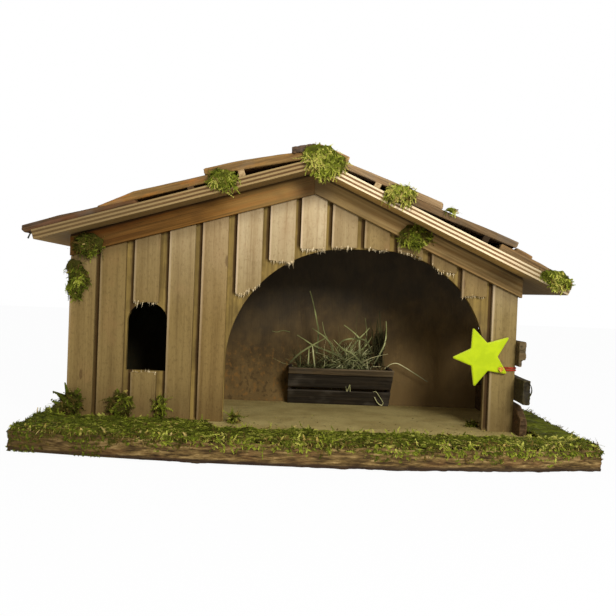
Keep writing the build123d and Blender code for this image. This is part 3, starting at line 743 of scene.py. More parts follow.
# bark strips round the base; lift is of the lower edge, along the front
barkStyle = {"cell": 1.1, "flake": 1.7, "wave": 1.0, "hangFrom": 9, "hangDeep": 8, "lowest": 0.2,
             "lift": ((-252, -200, -160, -120, -90, 252), (0.3, 0.7, 1.6, 1.2, 0, 0))}
barkFaces = {}
for order, name in enumerate(("bark_front", "bark_left", "bark_right")):
    isFront = name == "bark_front"
    mesh, points, normals = evenMesh(name, barkStyle["cell"])
    flake = ragged(points, (15, 4, 2.6) if isFront else (4, 15, 2.6), 160 + order, 4)
    points += normals * (np.maximum(flake, -0.5) * barkStyle["flake"])[:, None]
    hang = np.clip((barkStyle["hangFrom"] - points[:, 2]) / barkStyle["hangDeep"], 0, 1)
    wave = barkStyle["wave"] * ragged(points * (1, 1, 0), (36, 36, 1), 170 + order, 2)
    points[:, 2] += hang * (np.interp(points[:, 0], *barkStyle["lift"]) + wave)
    points[:, 2] = np.maximum(points[:, 2], barkStyle["lowest"])
    setPoints(mesh, points)
    barkFaces[name] = points, normals
    material = barkSkin("barkSkin" + name[5:].title(), 70 + order, isFront)
    link(name + "_flaked", mesh, material, (name,))
print("stage: bark flaked")

# moss: a lumpy cushion over each CAD clump, overgrown with feathery sprigs, some of them dry
mossTones = strandTones("mossTones", (
    (0.0, (58, 46, 20)), (0.14, (110, 88, 42)), (0.22, (60, 64, 16)), (0.4, (104, 114, 30)),
    (0.58, (148, 154, 48)), (0.74, (198, 196, 92)), (0.86, (174, 146, 76)), (1.0, (208, 186, 120))),
    (52, 50, 16), 0.85)
bedSprig = {"pairs": 6, "length": (2.8, 6.6), "leaf": (1.1, 2.1), "broad": 0.38, "curl": 0.6, "tuck": 0.3,
            "droop": 0}
tuftSprig = dict(bedSprig, pairs=7, length=(3.4, 7.6), leaf=(1.0, 2.0), broad=0.35, tuck=0.25, droop=0.25)
footSprig = dict(tuftSprig, length=(4.0, 10.0), leaf=(1.5, 3.0), broad=0.5, tuck=0.1, droop=0.15)
shootSprig = dict(tuftSprig, length=(9, 13), leaf=(2.2, 3.6), broad=0.9, curl=0.1, tuck=0, droop=0)
shootBlade = {"steps": 5, "length": (10, 14), "width": (3.0, 4.4), "curl": 0.06, "droop": 0}
fringeBlade = {"steps": 3, "length": (1.2, 4.2), "width": (0.4, 0.9), "curl": 0.3, "droop": 0.5}
crumbBlade = {"steps": 3, "length": (0.8, 3.2), "width": (0.4, 1.0), "curl": 0.25, "droop": 0}
bed = {"cell": 1.6, "lump": 2.0, "sink": 0.9, "per": 0.24, "lift": 0.5, "spread": 0.22, "sprig": bedSprig}
tuft = {"cell": 1.2, "lump": 3.4, "sink": 2.2, "per": 0.34, "lift": 0.8, "green": 0.38, "spread": 0.26,
        "dry": 0.03, "sprig": tuftSprig}
# pull: a place (x, z), how far around it, and how far the moss there moves; shade: a place, reach and change
# of tone, some darker ones being painted shade as marked where they stand; stretch: a place, reach and how
# much wider and taller the clump there is; trim: a place, reach and how long its sprigs are; shoots: root and
# direction of single long sprigs; cuts: where a bed is cut
mossBeds = {
    "moss_bed_front": dict(
        bed, green=0.57, dry=0.06, cuts=(-110, 70), shade=((-190, 18, 110, -0.13), (205, 18, 34, 0.1)),
        trim=((-210, 18, 120, 0.7), (150, 18, 110, 0.74))),
    "moss_bed_left": dict(bed, per=0.18, green=0.48, dry=0.1),
    "moss_bed_right": dict(
        bed, lump=2.2, sink=3.6, lift=0.45, green=0.67, spread=0.26, dry=0.16, trim=((230, 18, 200, 0.75),)),
    "moss_ridge": dict(
        tuft, lump=3.6, sink=2.4, green=0.68, shade=((24, 262, 18, 0.1),),
        pull=((-14, 240, 22, 12, 9), (-18, 259, 15, 5, 0), (-12, 272, 14, -1, 3), (24, 262, 14, 5, 0),
              (12, 236, 18, 3, 8))),
    "moss_roof_tufts": dict(
        tuft, lump=3.2, sink=1.4, green=0.7, spread=0.24,
        shade=((-83, 242, 30, -0.2), (122, 220, 12, -0.12), (225, 162, 24, -0.1), (239, 157, 9, -0.2)),
        stretch=((-83, 252, 36, 1.14, 0.9), (76, 245, 40, 1.36, 0.8), (122, 220, 15, 1.35, 0.9)),
        trim=((122, 220, 18, 0.7), (225, 162, 28, 0.75), (240, 158, 11, 0.5)),
        pull=((125, 218, 36, -3.4, 1.3), (210, 163, 16, -1, 4), (238, 163, 16, 1, -4))),
    "moss_wall_tufts": dict(
        tuft, per=0.32, dry=0.06,
        # the darker tone at (94, 210) is painted shadow under the right barge
        shade=((-221, 183, 15, -0.25), (-199, 180, 14, 0.02), (96, 200, 40, 0.02), (94, 210, 11, -0.24)),
        stretch=((-209, 183, 17, 1.2, 0.9), (96, 200, 24, 1.3, 0.95)),
        pull=((-226, 161, 12, -4, 2), (-226, 135, 12, -4, -1), (-206, 148, 14, 4, 0))),
    "moss_ground_tufts": dict(
        tuft, lump=4.6, sink=4.6, per=0.3, lift=1.1, spread=0.32, dry=0.18, sprig=footSprig,
        # the darker tone at (160, 24) is painted shade beside the post
        shade=((-222, 30, 26, -0.26), (-176, 32, 20, -0.12), (160, 24, 18, -0.2)),
        trim=((164, 26, 22, 0.9),), pull=((157, 24, 24, 8, 0),),
        shoots=(
            ((-225, -32, 36), (-13, -2, 6)), ((-224, -32, 37), (-2, -3, 12)), ((-221, -33, 36), (9, -3, 10)),
            ((-226, -33, 29), (-11, -3, 3)), ((-228, -34, 24), (-12, -3, 1)), ((-217, -33, 33), (8, -3, 7)),
            ((-223, -34, 31), (-6, -4, 7)), ((-226, -32, 33), (-12, -1, 9)), ((-219, -34, 28), (7, -4, 4)))),
}
leafLook = {"aside": 0.8, "ahead": 0.55, "lift": (-0.15, 0.5), "widestAt": 0.45, "stemHalf": 0.2}


# a sprig is a thin stem with small leaves in pairs that get shorter towards its tip
def sprigs(roots, ways, out, tones, style, rng, trim=1.0):
    count, pairs = len(roots), style["pairs"]
    share = np.linspace(0.04, 1, pairs)[None, :, None]
    length = rng.uniform(*style["length"], (count, 1, 1)) * np.reshape(trim, (-1, 1, 1))
    turn = np.cross(out, ways) * rng.normal(size=(count, 1)) * style["curl"] - out * style["tuck"]
    turn = (turn - (0, 0, style["droop"]))[:, None]
    stem = roots[:, None] + length * (ways[:, None] * share + turn * share ** 2)
    run = unit(ways[:, None] + 2 * turn * share)
    flat = unit(np.cross(run, out[:, None]))
    rise = np.cross(flat, run)
    height = np.broadcast_to(0.25 + 0.5 * share, (count, pairs, 1))[:, :, 0]
    tone = tones[:, None] + rng.normal(size=(count, pairs)) * 0.02
    rows, maps = [], []
    for hand in (-1, 1):
        leaf = rng.uniform(*style["leaf"], (count, pairs, 1)) * (1.05 - 0.6 * share)
        reach = flat * hand * leafLook["aside"] + run * leafLook["ahead"]
        reach = reach + rise * rng.uniform(*leafLook["lift"], (count, pairs, 1))
        broad = unit(np.cross(reach, rise)) * style["broad"]
        middle = stem + reach * leaf * leafLook["widestAt"]
        rows.append(np.stack((stem, middle + broad, stem + reach * leaf, middle - broad), 2))
        maps.append(np.stack([np.stack((tone, height + add), 2) for add in (-0.12, 0.05, 0.22, 0.05)], 2))
    near, far = (stem + flat * leafLook["stemHalf"] * way for way in (-1, 1))
    rows.append(np.stack((near[:, :-1], far[:, :-1], far[:, 1:], near[:, 1:]), 2))
    maps.append(np.stack([np.stack((tone[:, 1:], height[:, 1:] - 0.08), 2)] * 4, 2))
    points = np.concatenate([row.reshape(-1, 3) for row in rows])
    maps = np.concatenate([row.reshape(-1, 2) for row in maps])
    return points, np.arange(len(points)).reshape(-1, 4), maps


# one random value for each small clump, its edges wandering
def clumps(points, size, seed):
    warped = points + 1.4 * np.stack([lattice(points / 3 + 9.7 * k, seed + k) for k in range(3)], 1)
    return signed(cellKeys(np.floor(warped / size).astype(np.int64), seed), 9)


def away(points, x, z):
    return np.hypot(points[:, 0] - x, points[:, 2] - z)


# tones for the map: green by patch and clump, some sprigs dry and brown or dry and pale
def mossShade(roots, look, rng, seed, edge):
    count = len(roots)
    patch = ragged(roots, (17, 17, 17), seed + 7, 2)
    spot = clumps(roots, 5, seed + 8)
    green = look["green"] + 0.2 * patch + look["spread"] * spot + rng.normal(size=count) * 0.06
    for x, z, reach, change in look.get("shade", ()):
        green += change * np.clip(1.5 - away(roots, x, z) / reach, 0, 1)
    dryness = look["dry"] + 0.25 * clumps(roots, 6, seed + 9) + 0.2 * patch + 0.45 * edge
    isDry, isBrown = rng.uniform(size=count) < dryness, rng.uniform(size=count) < 0.7
    brown, bleached = rng.uniform(0.02, 0.17, count), rng.uniform(0.8, 0.95, count)
    return np.where(isDry, np.where(isBrown, brown, bleached), np.clip(green, 0.2, 0.78))


def trimmed(roots, look):
    trim = np.ones(len(roots))
    for x, z, reach, long in look.get("trim", ()):
        trim[away(roots, x, z) < reach] = long
    return trim


# directions in the face that a sprig grows from, lifted out of it a little
def spreadOut(spread, out, lift):
    spread = spread - out * (spread * out).sum(1)[:, None]
    return unit(spread) + out * lift[:, None]


def grownMoss(name, look, seed):
    rng = np.random.default_rng(seed)
    isBed, isFront = "bed" in name, name == "moss_bed_front"
    mesh, points, normals = evenMesh(name, look["cell"])
    quads = np.zeros(len(mesh.loops), np.int32)
    mesh.loops.foreach_get("vertex_index", quads)
    quads = quads.reshape(-1, 4)
    for x, z, reach, goX, goZ in look.get("pull", ()):
        points += eased(np.clip(1 - away(points, x, z) / reach, 0, 1))[:, None] * (goX, 0, goZ)
    for x, z, reach, wider, taller in look.get("stretch", ()):
        near = away(points, x, z) < reach
        points[near] += (points[near] - (x, 0, z)) * (wider - 1, 0, taller - 1)
    lump = ragged(points, (10, 10, 10), seed, 2) + 0.5 * ragged(points, (4, 4, 4), seed + 5, 2)
    points += normals * (lump * look["lump"] - look["sink"])[:, None]
    points[:, 2] = np.maximum(points[:, 2], floorZ if isBed else 1)
    tones = np.clip(look["green"] - 0.22 + 0.14 * ragged(points, (4, 4, 4), seed + 3), 0.2, 0.8)
    # the cushion's map goes darker in its hollows: painted shade
    lots = [(points, quads, np.stack((tones, np.clip(0.34 + 0.3 * lump, 0.05, 0.9)), 1))]
    corners = points[quads]
    across = np.cross(corners[:, 2] - corners[:, 0], corners[:, 3] - corners[:, 1])
    area, facing = np.linalg.norm(across, axis=1) / 2, unit(across)

    def scatter(weights, per):
        count = int(weights.sum() * per)
        chosen = rng.choice(len(quads), count, p=weights / weights.sum())
        mix = rng.dirichlet((1, 1, 1, 1), count)
        return (corners[chosen] * mix[:, :, None]).sum(1), facing[chosen]

    # 1 at the front rim of the front bed, 0 further back
    def frontness(roots):
        return np.clip((-114 - roots[:, 1] + 0.00036 * roots[:, 0] ** 2) / 22, 0, 1) * isFront

    roots, out = scatter(area * (facing[:, 2] > -0.35 if isBed else facing[:, 1] < 0.5), look["per"])
    ways = spreadOut(rng.normal(size=roots.shape), out, rng.uniform(0, look["lift"], len(roots)))
    if not isBed:
        ways[:, 2] -= 0.3
    shade = mossShade(roots, look, rng, seed, frontness(roots))
    lots.append(sprigs(roots - out * 0.3, unit(ways), out, shade, look["sprig"], rng, trimmed(roots, look)))
    if "shoots" in look:
        starts, ways = np.array(look["shoots"], float).transpose(1, 0, 2)
        ways, outward = unit(ways), np.tile((0.0, -1.0, 0.0), (len(ways), 1))
        shade = rng.uniform(0.2, 0.3, len(ways))
        lots.append(sprigs(starts, ways, outward, shade, shootSprig, rng))
        lots.append(blades(starts + (0, 0.4, 0), ways, shade, shootBlade, rng, side=np.cross(ways, outward)))
    if isBed:
        steep = (facing[:, 1] < -0.5) | (abs(facing[:, 0]) > 0.6)
        roots, out = scatter(area * steep * (facing[:, 2] > -0.35), 1.6)
        down = unit(out * 0.55 + rng.normal(size=roots.shape) * 0.25 + (0, 0, -0.5))
        shade = mossShade(roots, dict(look, dry=0.4), rng, seed, frontness(roots) * 0.5)
        lots.append(blades(roots - out * 0.5, down, shade, fringeBlade, rng))
        lots.append(overhang(name.replace("moss_bed", "bark"), look, rng, seed))
    if isFront:
        lots.append(crumbs(rng, look, seed))
    return lots


# sprigs that grow down the outer face of a bark strip: how far down, how close, and the axis and sign of out
hangLook = {"bark_front": (8.5, 0.5, 1, -1), "bark_left": (5.0, 0.35, 0, -1), "bark_right": (6.0, 0.35, 0, 1)}


def overhang(barkName, look, rng, seed):
    points, normals = barkFaces[barkName]
    reach, close, outAxis, sign = hangLook[barkName]
    line = np.zeros(points.shape)
    line[:, 0] = points[:, 1 - outAxis]
    hang = reach * np.clip(0.8 + 1.3 * ragged(line, (30, 1, 1), seed + 21, 3), 0.1, 1.6)
    if outAxis == 1:
        hang = hang * np.interp(points[:, 0], (-200, -110), (1.9, 1))
    depth = (floorZ - points[:, 2]) / hang
    chance = np.clip(1.15 - depth, 0, 1) * (sign * normals[:, outAxis] > 0.2) * (points[:, 2] < floorZ + 2)
    chosen = rng.choice(len(points), int(chance.sum() * close), p=chance / chance.sum())
    roots, out = points[chosen], normals[chosen]
    spread = rng.normal(size=roots.shape) + (0, 0, -0.5)
    ways = unit(spreadOut(spread, out, rng.uniform(0.05, 0.4, len(roots))))
    dim = dict(look, green=look["green"] - 0.17, spread=0.16)
    shade = mossShade(roots, dim, rng, seed, np.clip(depth[chosen], 0, 1) * 0.9)
    shade = np.where(shade > 0.79, shade - 0.68, shade)  # what dries here goes brown, not pale
    grown, quads, maps = sprigs(roots - out * 0.4, ways, out, shade, look["sprig"], rng, trimmed(roots, look))
    grown[:, 2] = np.maximum(grown[:, 2], 0.4)
    return grown, quads, maps


# loose bits on the sand, thinning out towards the back
crumbLook = {"count": 520, "x": (-78, 188), "front": -84, "back": 70, "reach": 26}


def crumbs(rng, look, seed):
    count = crumbLook["count"]
    back = np.minimum(crumbLook["front"] + rng.exponential(crumbLook["reach"], count), crumbLook["back"])
    roots = np.stack((rng.uniform(*crumbLook["x"], count), back, np.full(count, floorZ + 0.35)), 1)
    ways = unit(rng.normal(size=(count, 3)) * (1, 1, 0.12))
    shade = mossShade(roots, dict(look, dry=0.6), rng, seed, np.zeros(count))
    points, quads, maps = blades(roots, ways, shade, crumbBlade, rng)
    points[:, 2] = np.maximum(points[:, 2], floorZ + 0.1)
    return points, quads, maps


# the part of a lot that lies between two places across
def band(lot, low, high):
    points, quads, maps = lot
    middle = points[quads[:, 0], 0]
    used, places = np.unique(quads[(middle >= low) & (middle < high)], return_inverse=True)
    return points[used], places.reshape(-1, 4), maps[used]


# a bed with many sprigs is cut into pieces, its cushion stays whole in the first
mossCount = 0
for order, (name, look) in enumerate(mossBeds.items()):
    cushion, *grown = grownMoss(name, look, 200 + 13 * order)
    edges = (-math.inf, *look.get("cuts", ()), math.inf)
    for part, (low, high) in enumerate(zip(edges, edges[1:])):
        title = name + ("_grown" if part == 0 else f"_grown_{part + 1}")
        lots = [band(lot, low, high) for lot in grown]
        mesh = joined(title, lots if part else [cushion, *lots])
        mossCount += len(mesh.polygons)
        link(title, mesh, mossTones, () if part else (name,))
print("stage: moss grown,", mossCount, "faces")

# hay: dark bed, a pale tangle in the middle, long stalks standing out of it and a dark tuft on the right,
# painted shade where the hay lies in shadow
hayTones = strandTones("hayTones", (
    (0.0, (30, 29, 15)), (0.12, (56, 53, 29)), (0.3, (90, 91, 53)), (0.6, (142, 145, 90)),
    (0.85, (190, 190, 132)), (1.0, (222, 212, 158))), (44, 41, 23), 0.6)
hayBlade = {"steps": 5, "curl": 0.6, "droop": 0.2, "spread": (0.8, 0.4, 0.5), "lean": (0, -0.15, 0.6)}
hayLots = {
    "bed": dict(hayBlade, count=420, x=(22, 30), y=(97, 126), z=(50, 62), tone=(0.0, 0.4), length=(8, 20),
                width=(0.6, 1.3), droop=0.3),
    "tangle": dict(hayBlade, count=300, x=(51, 11), y=(92, 112), z=(58, 74), tone=(0.45, 1.0), length=(7, 19),
                   width=(0.6, 1.4)),
    "loose": dict(hayBlade, count=110, x=(30, 24), y=(94, 122), z=(54, 66), tone=(0.2, 0.75), length=(16, 34),
                  width=(0.4, 0.9), steps=6, curl=0.5),
    # painted shade: near-black stalks where the hay lies in shadow
    "tuft": dict(hayBlade, count=60, x=(80, 3.2), y=(93, 101), z=(58, 84), tone=(0.0, 0.12), length=(18, 40),
                 width=(0.9, 2.2), steps=6, curl=0.12, droop=0, spread=(0.12, 0.1, 0.1), lean=(0, 0, 0.9)),
}
# the space in the manger; below the rail the hay stays behind the sloping slats
hayRoom = {"across": (-5, 86), "back": 131.5, "low": 24, "rail": 63, "right": 97, "ends": (-13, 91.5),
           "slatFoot": (129, 18), "slatSlope": 0.828}
# each stalk: depth, tone, width, then places across and up
stalks = (
    (92, 0.42, 1.8, ((-10.3, 96.7), (-1.3, 91.6), (7.6, 86.4), (21, 81.4), (34.3, 76.5), (45.5, 70.3))),
    (90, 0.5, 1.8, ((23.1, 95.8), (15.1, 91.1), (7.6, 86.4), (-6.2, 77.1), (-17, 66.5))),
    (95, 0.68, 1.9, ((40.8, 109.5), (49.9, 103.2), (57.9, 95.8), (58.7, 88.2), (59.6, 76.5))),
    (96, 0.55, 1.7, ((69, 107.2), (63.2, 100.4), (57.9, 94.7), (50, 84), (44, 70))),
    (94, 0.4, 1.8, ((33, 80), (38.3, 90.7), (46.9, 94.3), (56.8, 94.7), (65.7, 92.8), (72.7, 80))),
    (92, 0.62, 1.6, ((86.4, 115.4), (87.5, 103.3), (86.2, 91.2), (81.5, 80.1), (75.3, 68))),
    # the next two stalks are near black: painted shade where the hay lies in shadow
    (99, 0.1, 2.2, ((77.1, 118.4), (79.8, 105.3), (81.5, 91), (76.5, 74))),
    (97, 0.04, 2.6, ((79.5, 126), (81, 112), (82.5, 100), (82, 88), (76, 72))),
    (98, 0.38, 2.0, ((2.2, 145.3), (7.2, 129), (11.2, 111.5), (13.3, 100.6), (12.2, 76))),
    (93, 0.45, 1.8, ((6, 104.7), (12.7, 100.6), (20.6, 95.3), (28, 86), (30, 70))),
    (92, 0.8, 1.6, ((7.1, 85.3), (8.6, 75.5), (10.7, 62))),
    (93, 0.72, 1.6, ((3.5, 82.8), (3.3, 64))),
    (97, 0.35, 1.3, ((17, 112), (20, 100), (26, 88), (34, 72))),
    (96, 0.3, 1.4, ((64, 118), (66, 104), (65, 90), (60, 72))),
    (93, 0.6, 1.4, ((30, 93), (40, 84), (52, 78), (64, 66))),
    (94, 0.55, 1.3, ((72, 98), (66, 88), (56, 78), (46, 66))),
    (116, 0.93, 1.1, ((90, 61), (97, 66.5), (104, 67.6), (113, 63.4), (124, 57), (139, 48))),
)
# bits caught on the slats and on the back wall: tone, width, then places across, deep and up
strayBits = (
    (0.95, 0.9, ((77, 106.4, 35.4), (80, 106, 36.2), (84.7, 110.6, 30.3), (89.6, 116.6, 22.9),
                 (88.2, 119.4, 19.4), (83.5, 116.8, 22.6), (79.2, 111.3, 29.4))),
    (0.9, 0.9, ((46, 101.6, 41.2), (47.7, 106.6, 35.4), (49.2, 102.8, 39.6), (50.2, 100.2, 43),
                (51.4, 106.5, 35.4))),
    (0.4, 0.8, ((-38.6, 131.2, 98.1), (-32.9, 131.2, 97.2), (-26.1, 131.2, 99.2), (-18.1, 131.2, 97.8))),
)
ribbonLook = {"facing": (0.25, -1, 0.3), "taper": 0.32, "toneStep": 0.02}


# a flat ribbon along a smooth line through a few points, its tone changing a little on the way
def ribbon(tone, width, line, seed, wander=3.0):
    line = np.array(line, float)
    share = np.linspace(0, len(line) - 1, 5 * len(line))
    first = np.clip(share.astype(int), 0, len(line) - 2)
    part = (share - first)[:, None]
    before, after = line[np.maximum(first - 1, 0)], line[np.minimum(first + 2, len(line) - 1)]
    start, end = line[first], line[first + 1]
    middle = 0.5 * (2 * start + (end - before) * part + (2 * before - 5 * start + 4 * end - after) * part ** 2
                    + (3 * start - before - 3 * end + after) * part ** 3)
    middle[:, 1] += wander * lattice(middle / 17, seed)
    side = unit(np.cross(np.gradient(middle, axis=0), ribbonLook["facing"]))
    half = width * (0.5 - ribbonLook["taper"] * np.linspace(1, 0, len(middle))[:, None] ** 2)
    points = np.stack((middle - side * half, middle + side * half), 1).reshape(-1, 3)
    height = np.linspace(0.96, 0.2 if wander else 0.9, len(middle))
    tones = np.clip(tone + 0.22 * lattice(middle / 8, seed + 1), 0.01, 0.97)
    maps = [np.stack((tones + add, height), 1) for add in (0, ribbonLook["toneStep"])]
    return points, strip(len(middle) - 1), np.stack(maps, 1).reshape(-1, 2)


rng = np.random.default_rng(31)
lots = []
for lot in hayLots.values():
    count = lot["count"]
    across = rng.normal(*lot["x"], count).clip(*hayRoom["across"])
    roots = np.stack((across, rng.uniform(*lot["y"], count), rng.uniform(*lot["z"], count)), 1)
    ways = unit(rng.normal(size=(count, 3)) * lot["spread"] + lot["lean"])
    lots.append(blades(roots, ways, rng.uniform(*lot["tone"], count), lot, rng))
for order, (depth, tone, width, line) in enumerate(stalks):
    lots.append(ribbon(tone, width, [(x, depth, z) for x, z in line], 300 + order))
for points, quads, maps in lots:
    points[:, 1] = np.minimum(points[:, 1], hayRoom["back"])
    points[:, 2] = np.maximum(points[:, 2], hayRoom["low"])
    inside = (points[:, 2] < hayRoom["rail"]) & (points[:, 0] < hayRoom["right"])
    footY, footZ = hayRoom["slatFoot"]
    slatY = footY - (points[inside, 2] - footZ) * hayRoom["slatSlope"]
    points[inside, 1] = np.maximum(points[inside, 1], slatY)
    points[inside, 0] = np.clip(points[inside, 0], *hayRoom["ends"])
link("hay_stalks", joined("hay_stalks", lots), hayTones, ("hay",))
bits = [ribbon(tone, width, line, 330 + order, 0) for order, (tone, width, line) in enumerate(strayBits)]
link("stray_straw", joined("stray_straw", bits), hayTones)
print("stage: hay laid")

# star: rounded tips, softened rim, a hole for its tie; tips is how long each arm is, from the lower right on
starLook = {"centre": (165.4, 89.0), "radius": 30.2, "inner": 0.465, "tip": 3.6, "notch": 0.9, "thickness": 4,
            "rim": 1.3, "tips": (0.95, 1.06, 1, 1, 1), "front": -34.2, "turn": 3, "hole": (182.3, 78.12),
            "holeRadius": 1.7}


def starOutline(look):
    corners = []
    for k in range(10):
        reach = look["radius"] * (look["inner"] if k % 2 else look["tips"][k // 2])
        angle = math.radians(-36 + look["turn"] + 36 * k)
        corners.append(np.array((math.cos(angle), math.sin(angle))) * reach)
    outline = []
    for k, corner in enumerate(corners):
        before, after = unit(corners[k - 1] - corner), unit(corners[(k + 1) % 10] - corner)
        cut = look["notch" if k % 2 else "tip"]
        for share in np.linspace(0, 1, 9):
            outline.append(corner + before * cut * (1 - share) ** 2 + after * cut * share ** 2)
    return np.array(outline)


def starMesh(look):
    curve = bpy.data.curves.new("starLine", "CURVE")
    curve.dimensions, curve.fill_mode = "2D", "BOTH"
    curve.extrude = (look["thickness"] / 2 - look["rim"]) * mm
    curve.bevel_depth, curve.bevel_resolution, curve.offset = look["rim"] * mm, 3, -look["rim"] * mm
    turns = np.linspace(0, 2 * math.pi, 24, endpoint=False)
    bore = np.stack((np.cos(turns), -np.sin(turns)), 1) * look["holeRadius"]
    bore = bore + np.array(look["hole"]) - np.array(look["centre"])
    for line in (starOutline(look), bore):
        spline = curve.splines.new("POLY")
        spline.points.add(len(line) - 1)
        flat = np.column_stack((line * mm, np.zeros(len(line)), np.ones(len(line))))
        spline.points.foreach_set("co", flat.ravel())
        spline.use_cyclic_u = True
    mesh = solved(added("starLine", curve))
    place = Vector((look["centre"][0], look["front"] + look["thickness"] / 2, look["centre"][1])) * mm
    mesh.transform(Matrix.Translation(place) @ Matrix.Rotation(math.radians(90), 4, "X"))
    return mesh


def starPaint():
    f = Finish("starPaint", Specular_IOR_Level=0.12)
    spot = f.places(6)
    cloud, peel, speck = f.noises(spot, (9, 9, 9, 3), (1.1, 1.1, 1.1, 2), (0.8, 0.8, 0.8, 2))
    f.colour = f.blend(f.between(cloud, 0.35, 0.65), (186, 204, 8), (174, 194, 4))
    # the rim paler than the face: painted highlight
    f.lay(((140, 160, 4), speck, 0.68, 0.76, 0.35), ((224, 232, 92), f.normalAxis(1), -0.95, -0.35, 0.75))
    return f.close(f.between(cloud, 0.3, 0.7, 0.34, 0.5), peel, 0.12)


link("star_painted", starMesh(starLook), starPaint(), ("star",), "star")


# a twisted cord of a few plies along a line of points
def twisted(path, radius, plies, pitch, closed, sides=8):
    run = unit(np.roll(path, -1, 0) - np.roll(path, 1, 0) if closed else np.gradient(path, axis=0))
    up = np.tile((0.0, 0.0, 1.0), (len(path), 1))
    up = unit(up - run * (up * run).sum(1)[:, None])
    out = np.cross(run, up)
    shift, thick = (radius * 0.5, radius * 0.56) if plies > 1 else (0, radius)
    points, faces = [], []
    for ply in range(plies):
        angle = (lengths(path) / pitch * 2 * math.pi + ply * 2 * math.pi / plies)[:, None]
        middle = path + shift * (up * np.sin(angle) + out * np.cos(angle))
        turns = [2 * math.pi * k / sides for k in range(sides)]
        ring = [middle + thick * (up * math.sin(turn) + out * math.cos(turn)) for turn in turns]
        first = ply * len(path) * sides
        points.append(np.stack(ring, 1).reshape(-1, 3))
        for i in range(len(path) - (not closed)):
            here, there = first + i * sides, first + (i + 1) % len(path) * sides
            for k in range(sides):
                after = (k + 1) % sides
                faces.append((here + k, here + after, there + after, there + k))
    mesh = facedMesh("cord", np.concatenate(points), faces)
    smooth(mesh)
    return mesh


# the band goes twice round the right leg
bandLow, bandHigh = boxOf("star_band")
bandStyle = {"strand": 0.95, "inset": 0.3, "rise": 1.05, "corner": 1.6, "pitch": 3.4, "steps": 220}


def bandPath(lift, seed):
    (x0, y0), (x1, y1) = bandLow[:2] + bandStyle["inset"], bandHigh[:2] - bandStyle["inset"]
    r = bandStyle["corner"]
    corners = (x1 - r, y0 + r, -90), (x1 - r, y1 - r, 0), (x0 + r, y1 - r, 90), (x0 + r, y0 + r, 180)
    line = []
    for cx, cy, start in corners:
        for step in range(7):
            a = math.radians(start + 15 * step)
            line.append((cx + r * math.cos(a), cy + r * math.sin(a)))
    line = np.array(line + line[:1])
    gone = lengths(line)
    at = np.linspace(0, gone[-1], bandStyle["steps"], endpoint=False)
    x, y = np.interp(at, gone, line[:, 0]), np.interp(at, gone, line[:, 1])
    z = (bandLow[2] + bandHigh[2]) / 2 + lift + 0.3 * lattice(np.stack((x, y, y * 0), 1) / 9, seed)
    return np.stack((x, y, z), 1)


bandThread = threadFinish("bandThread", (190, 72, 50), (146, 40, 33), 80)
for order, lift in enumerate((-bandStyle["rise"], bandStyle["rise"])):
    mesh = twisted(bandPath(lift, 340 + order), bandStyle["strand"], 2, bandStyle["pitch"], True)
    link(f"band_strand_{order + 1}", mesh, bandThread, ("star_band",) if order == 0 else ())

# the tie: a knot in front of the star and a shank through its hole
tieLook = {"loop": 0.75, "wave": 0.55, "knotDeep": 1.4, "knotRadius": 0.62, "shankDeep": 1.2,
           "shankRadius": 1.0, "pitch": 3}
tieLow, tieHigh = boxOf("star_tie")
turns = np.linspace(0, 2 * math.pi, 120, endpoint=False)
knotX, knotZ = starLook["hole"]
knotLine = np.stack((knotX + tieLook["loop"] * (np.sin(turns) + 2 * np.sin(2 * turns)),
                     tieLow[1] + tieLook["knotDeep"] - tieLook["wave"] * np.sin(3 * turns),
                     knotZ + tieLook["loop"] * (np.cos(turns) - 2 * np.cos(2 * turns))), 1)
shankLine = np.linspace((knotX, tieLow[1] + tieLook["shankDeep"], knotZ), (knotX, tieHigh[1], knotZ), 14)
knotThread = threadFinish("knotThread", (238, 186, 84), (206, 140, 50), 82)
knot = twisted(knotLine, tieLook["knotRadius"], 1, tieLook["pitch"], True)
link("tie_knot", knot, knotThread, ("star_tie",))
link("tie_shank", twisted(shankLine, tieLook["shankRadius"], 2, tieLook["pitch"], False), knotThread)
print("stage: star tied")

# torn fibres at the sawn ends over the arch, over the window and at its sill
splinterLook = {
    "perEnd": 24, "frayed": {"batten_03_upper": 20, "batten_06": 70, "batten_07": 34, "batten_08": 60},
    "length": (0.8, 3.6), "longShare": 0.16, "longer": 1.8, "width": (0.2, 0.55), "thick": (0.25, 0.6),
    "deep": (0.4, 3.6), "root": 1.5, "lean": 0.3, "sill": "batten_03_lower", "sillLength": 0.6,
    "endReach": 22, "lowestEnd": 60,
}


# the line of a batten's sawn end, from its corners
def sawnEnd(name, way):
    ends = {}
    for v in nodes[name].data.vertices:
        x, z = round(v.co.x / mm, 1), v.co.z / mm
        ends[x] = max(ends.get(x, z) * way, z * way) * way
    last = max(z * way for z in ends.values()) * way
    kept = sorted((x, z) for x, z in ends.items() if abs(z - last) < splinterLook["endReach"])
    return np.array(kept).T


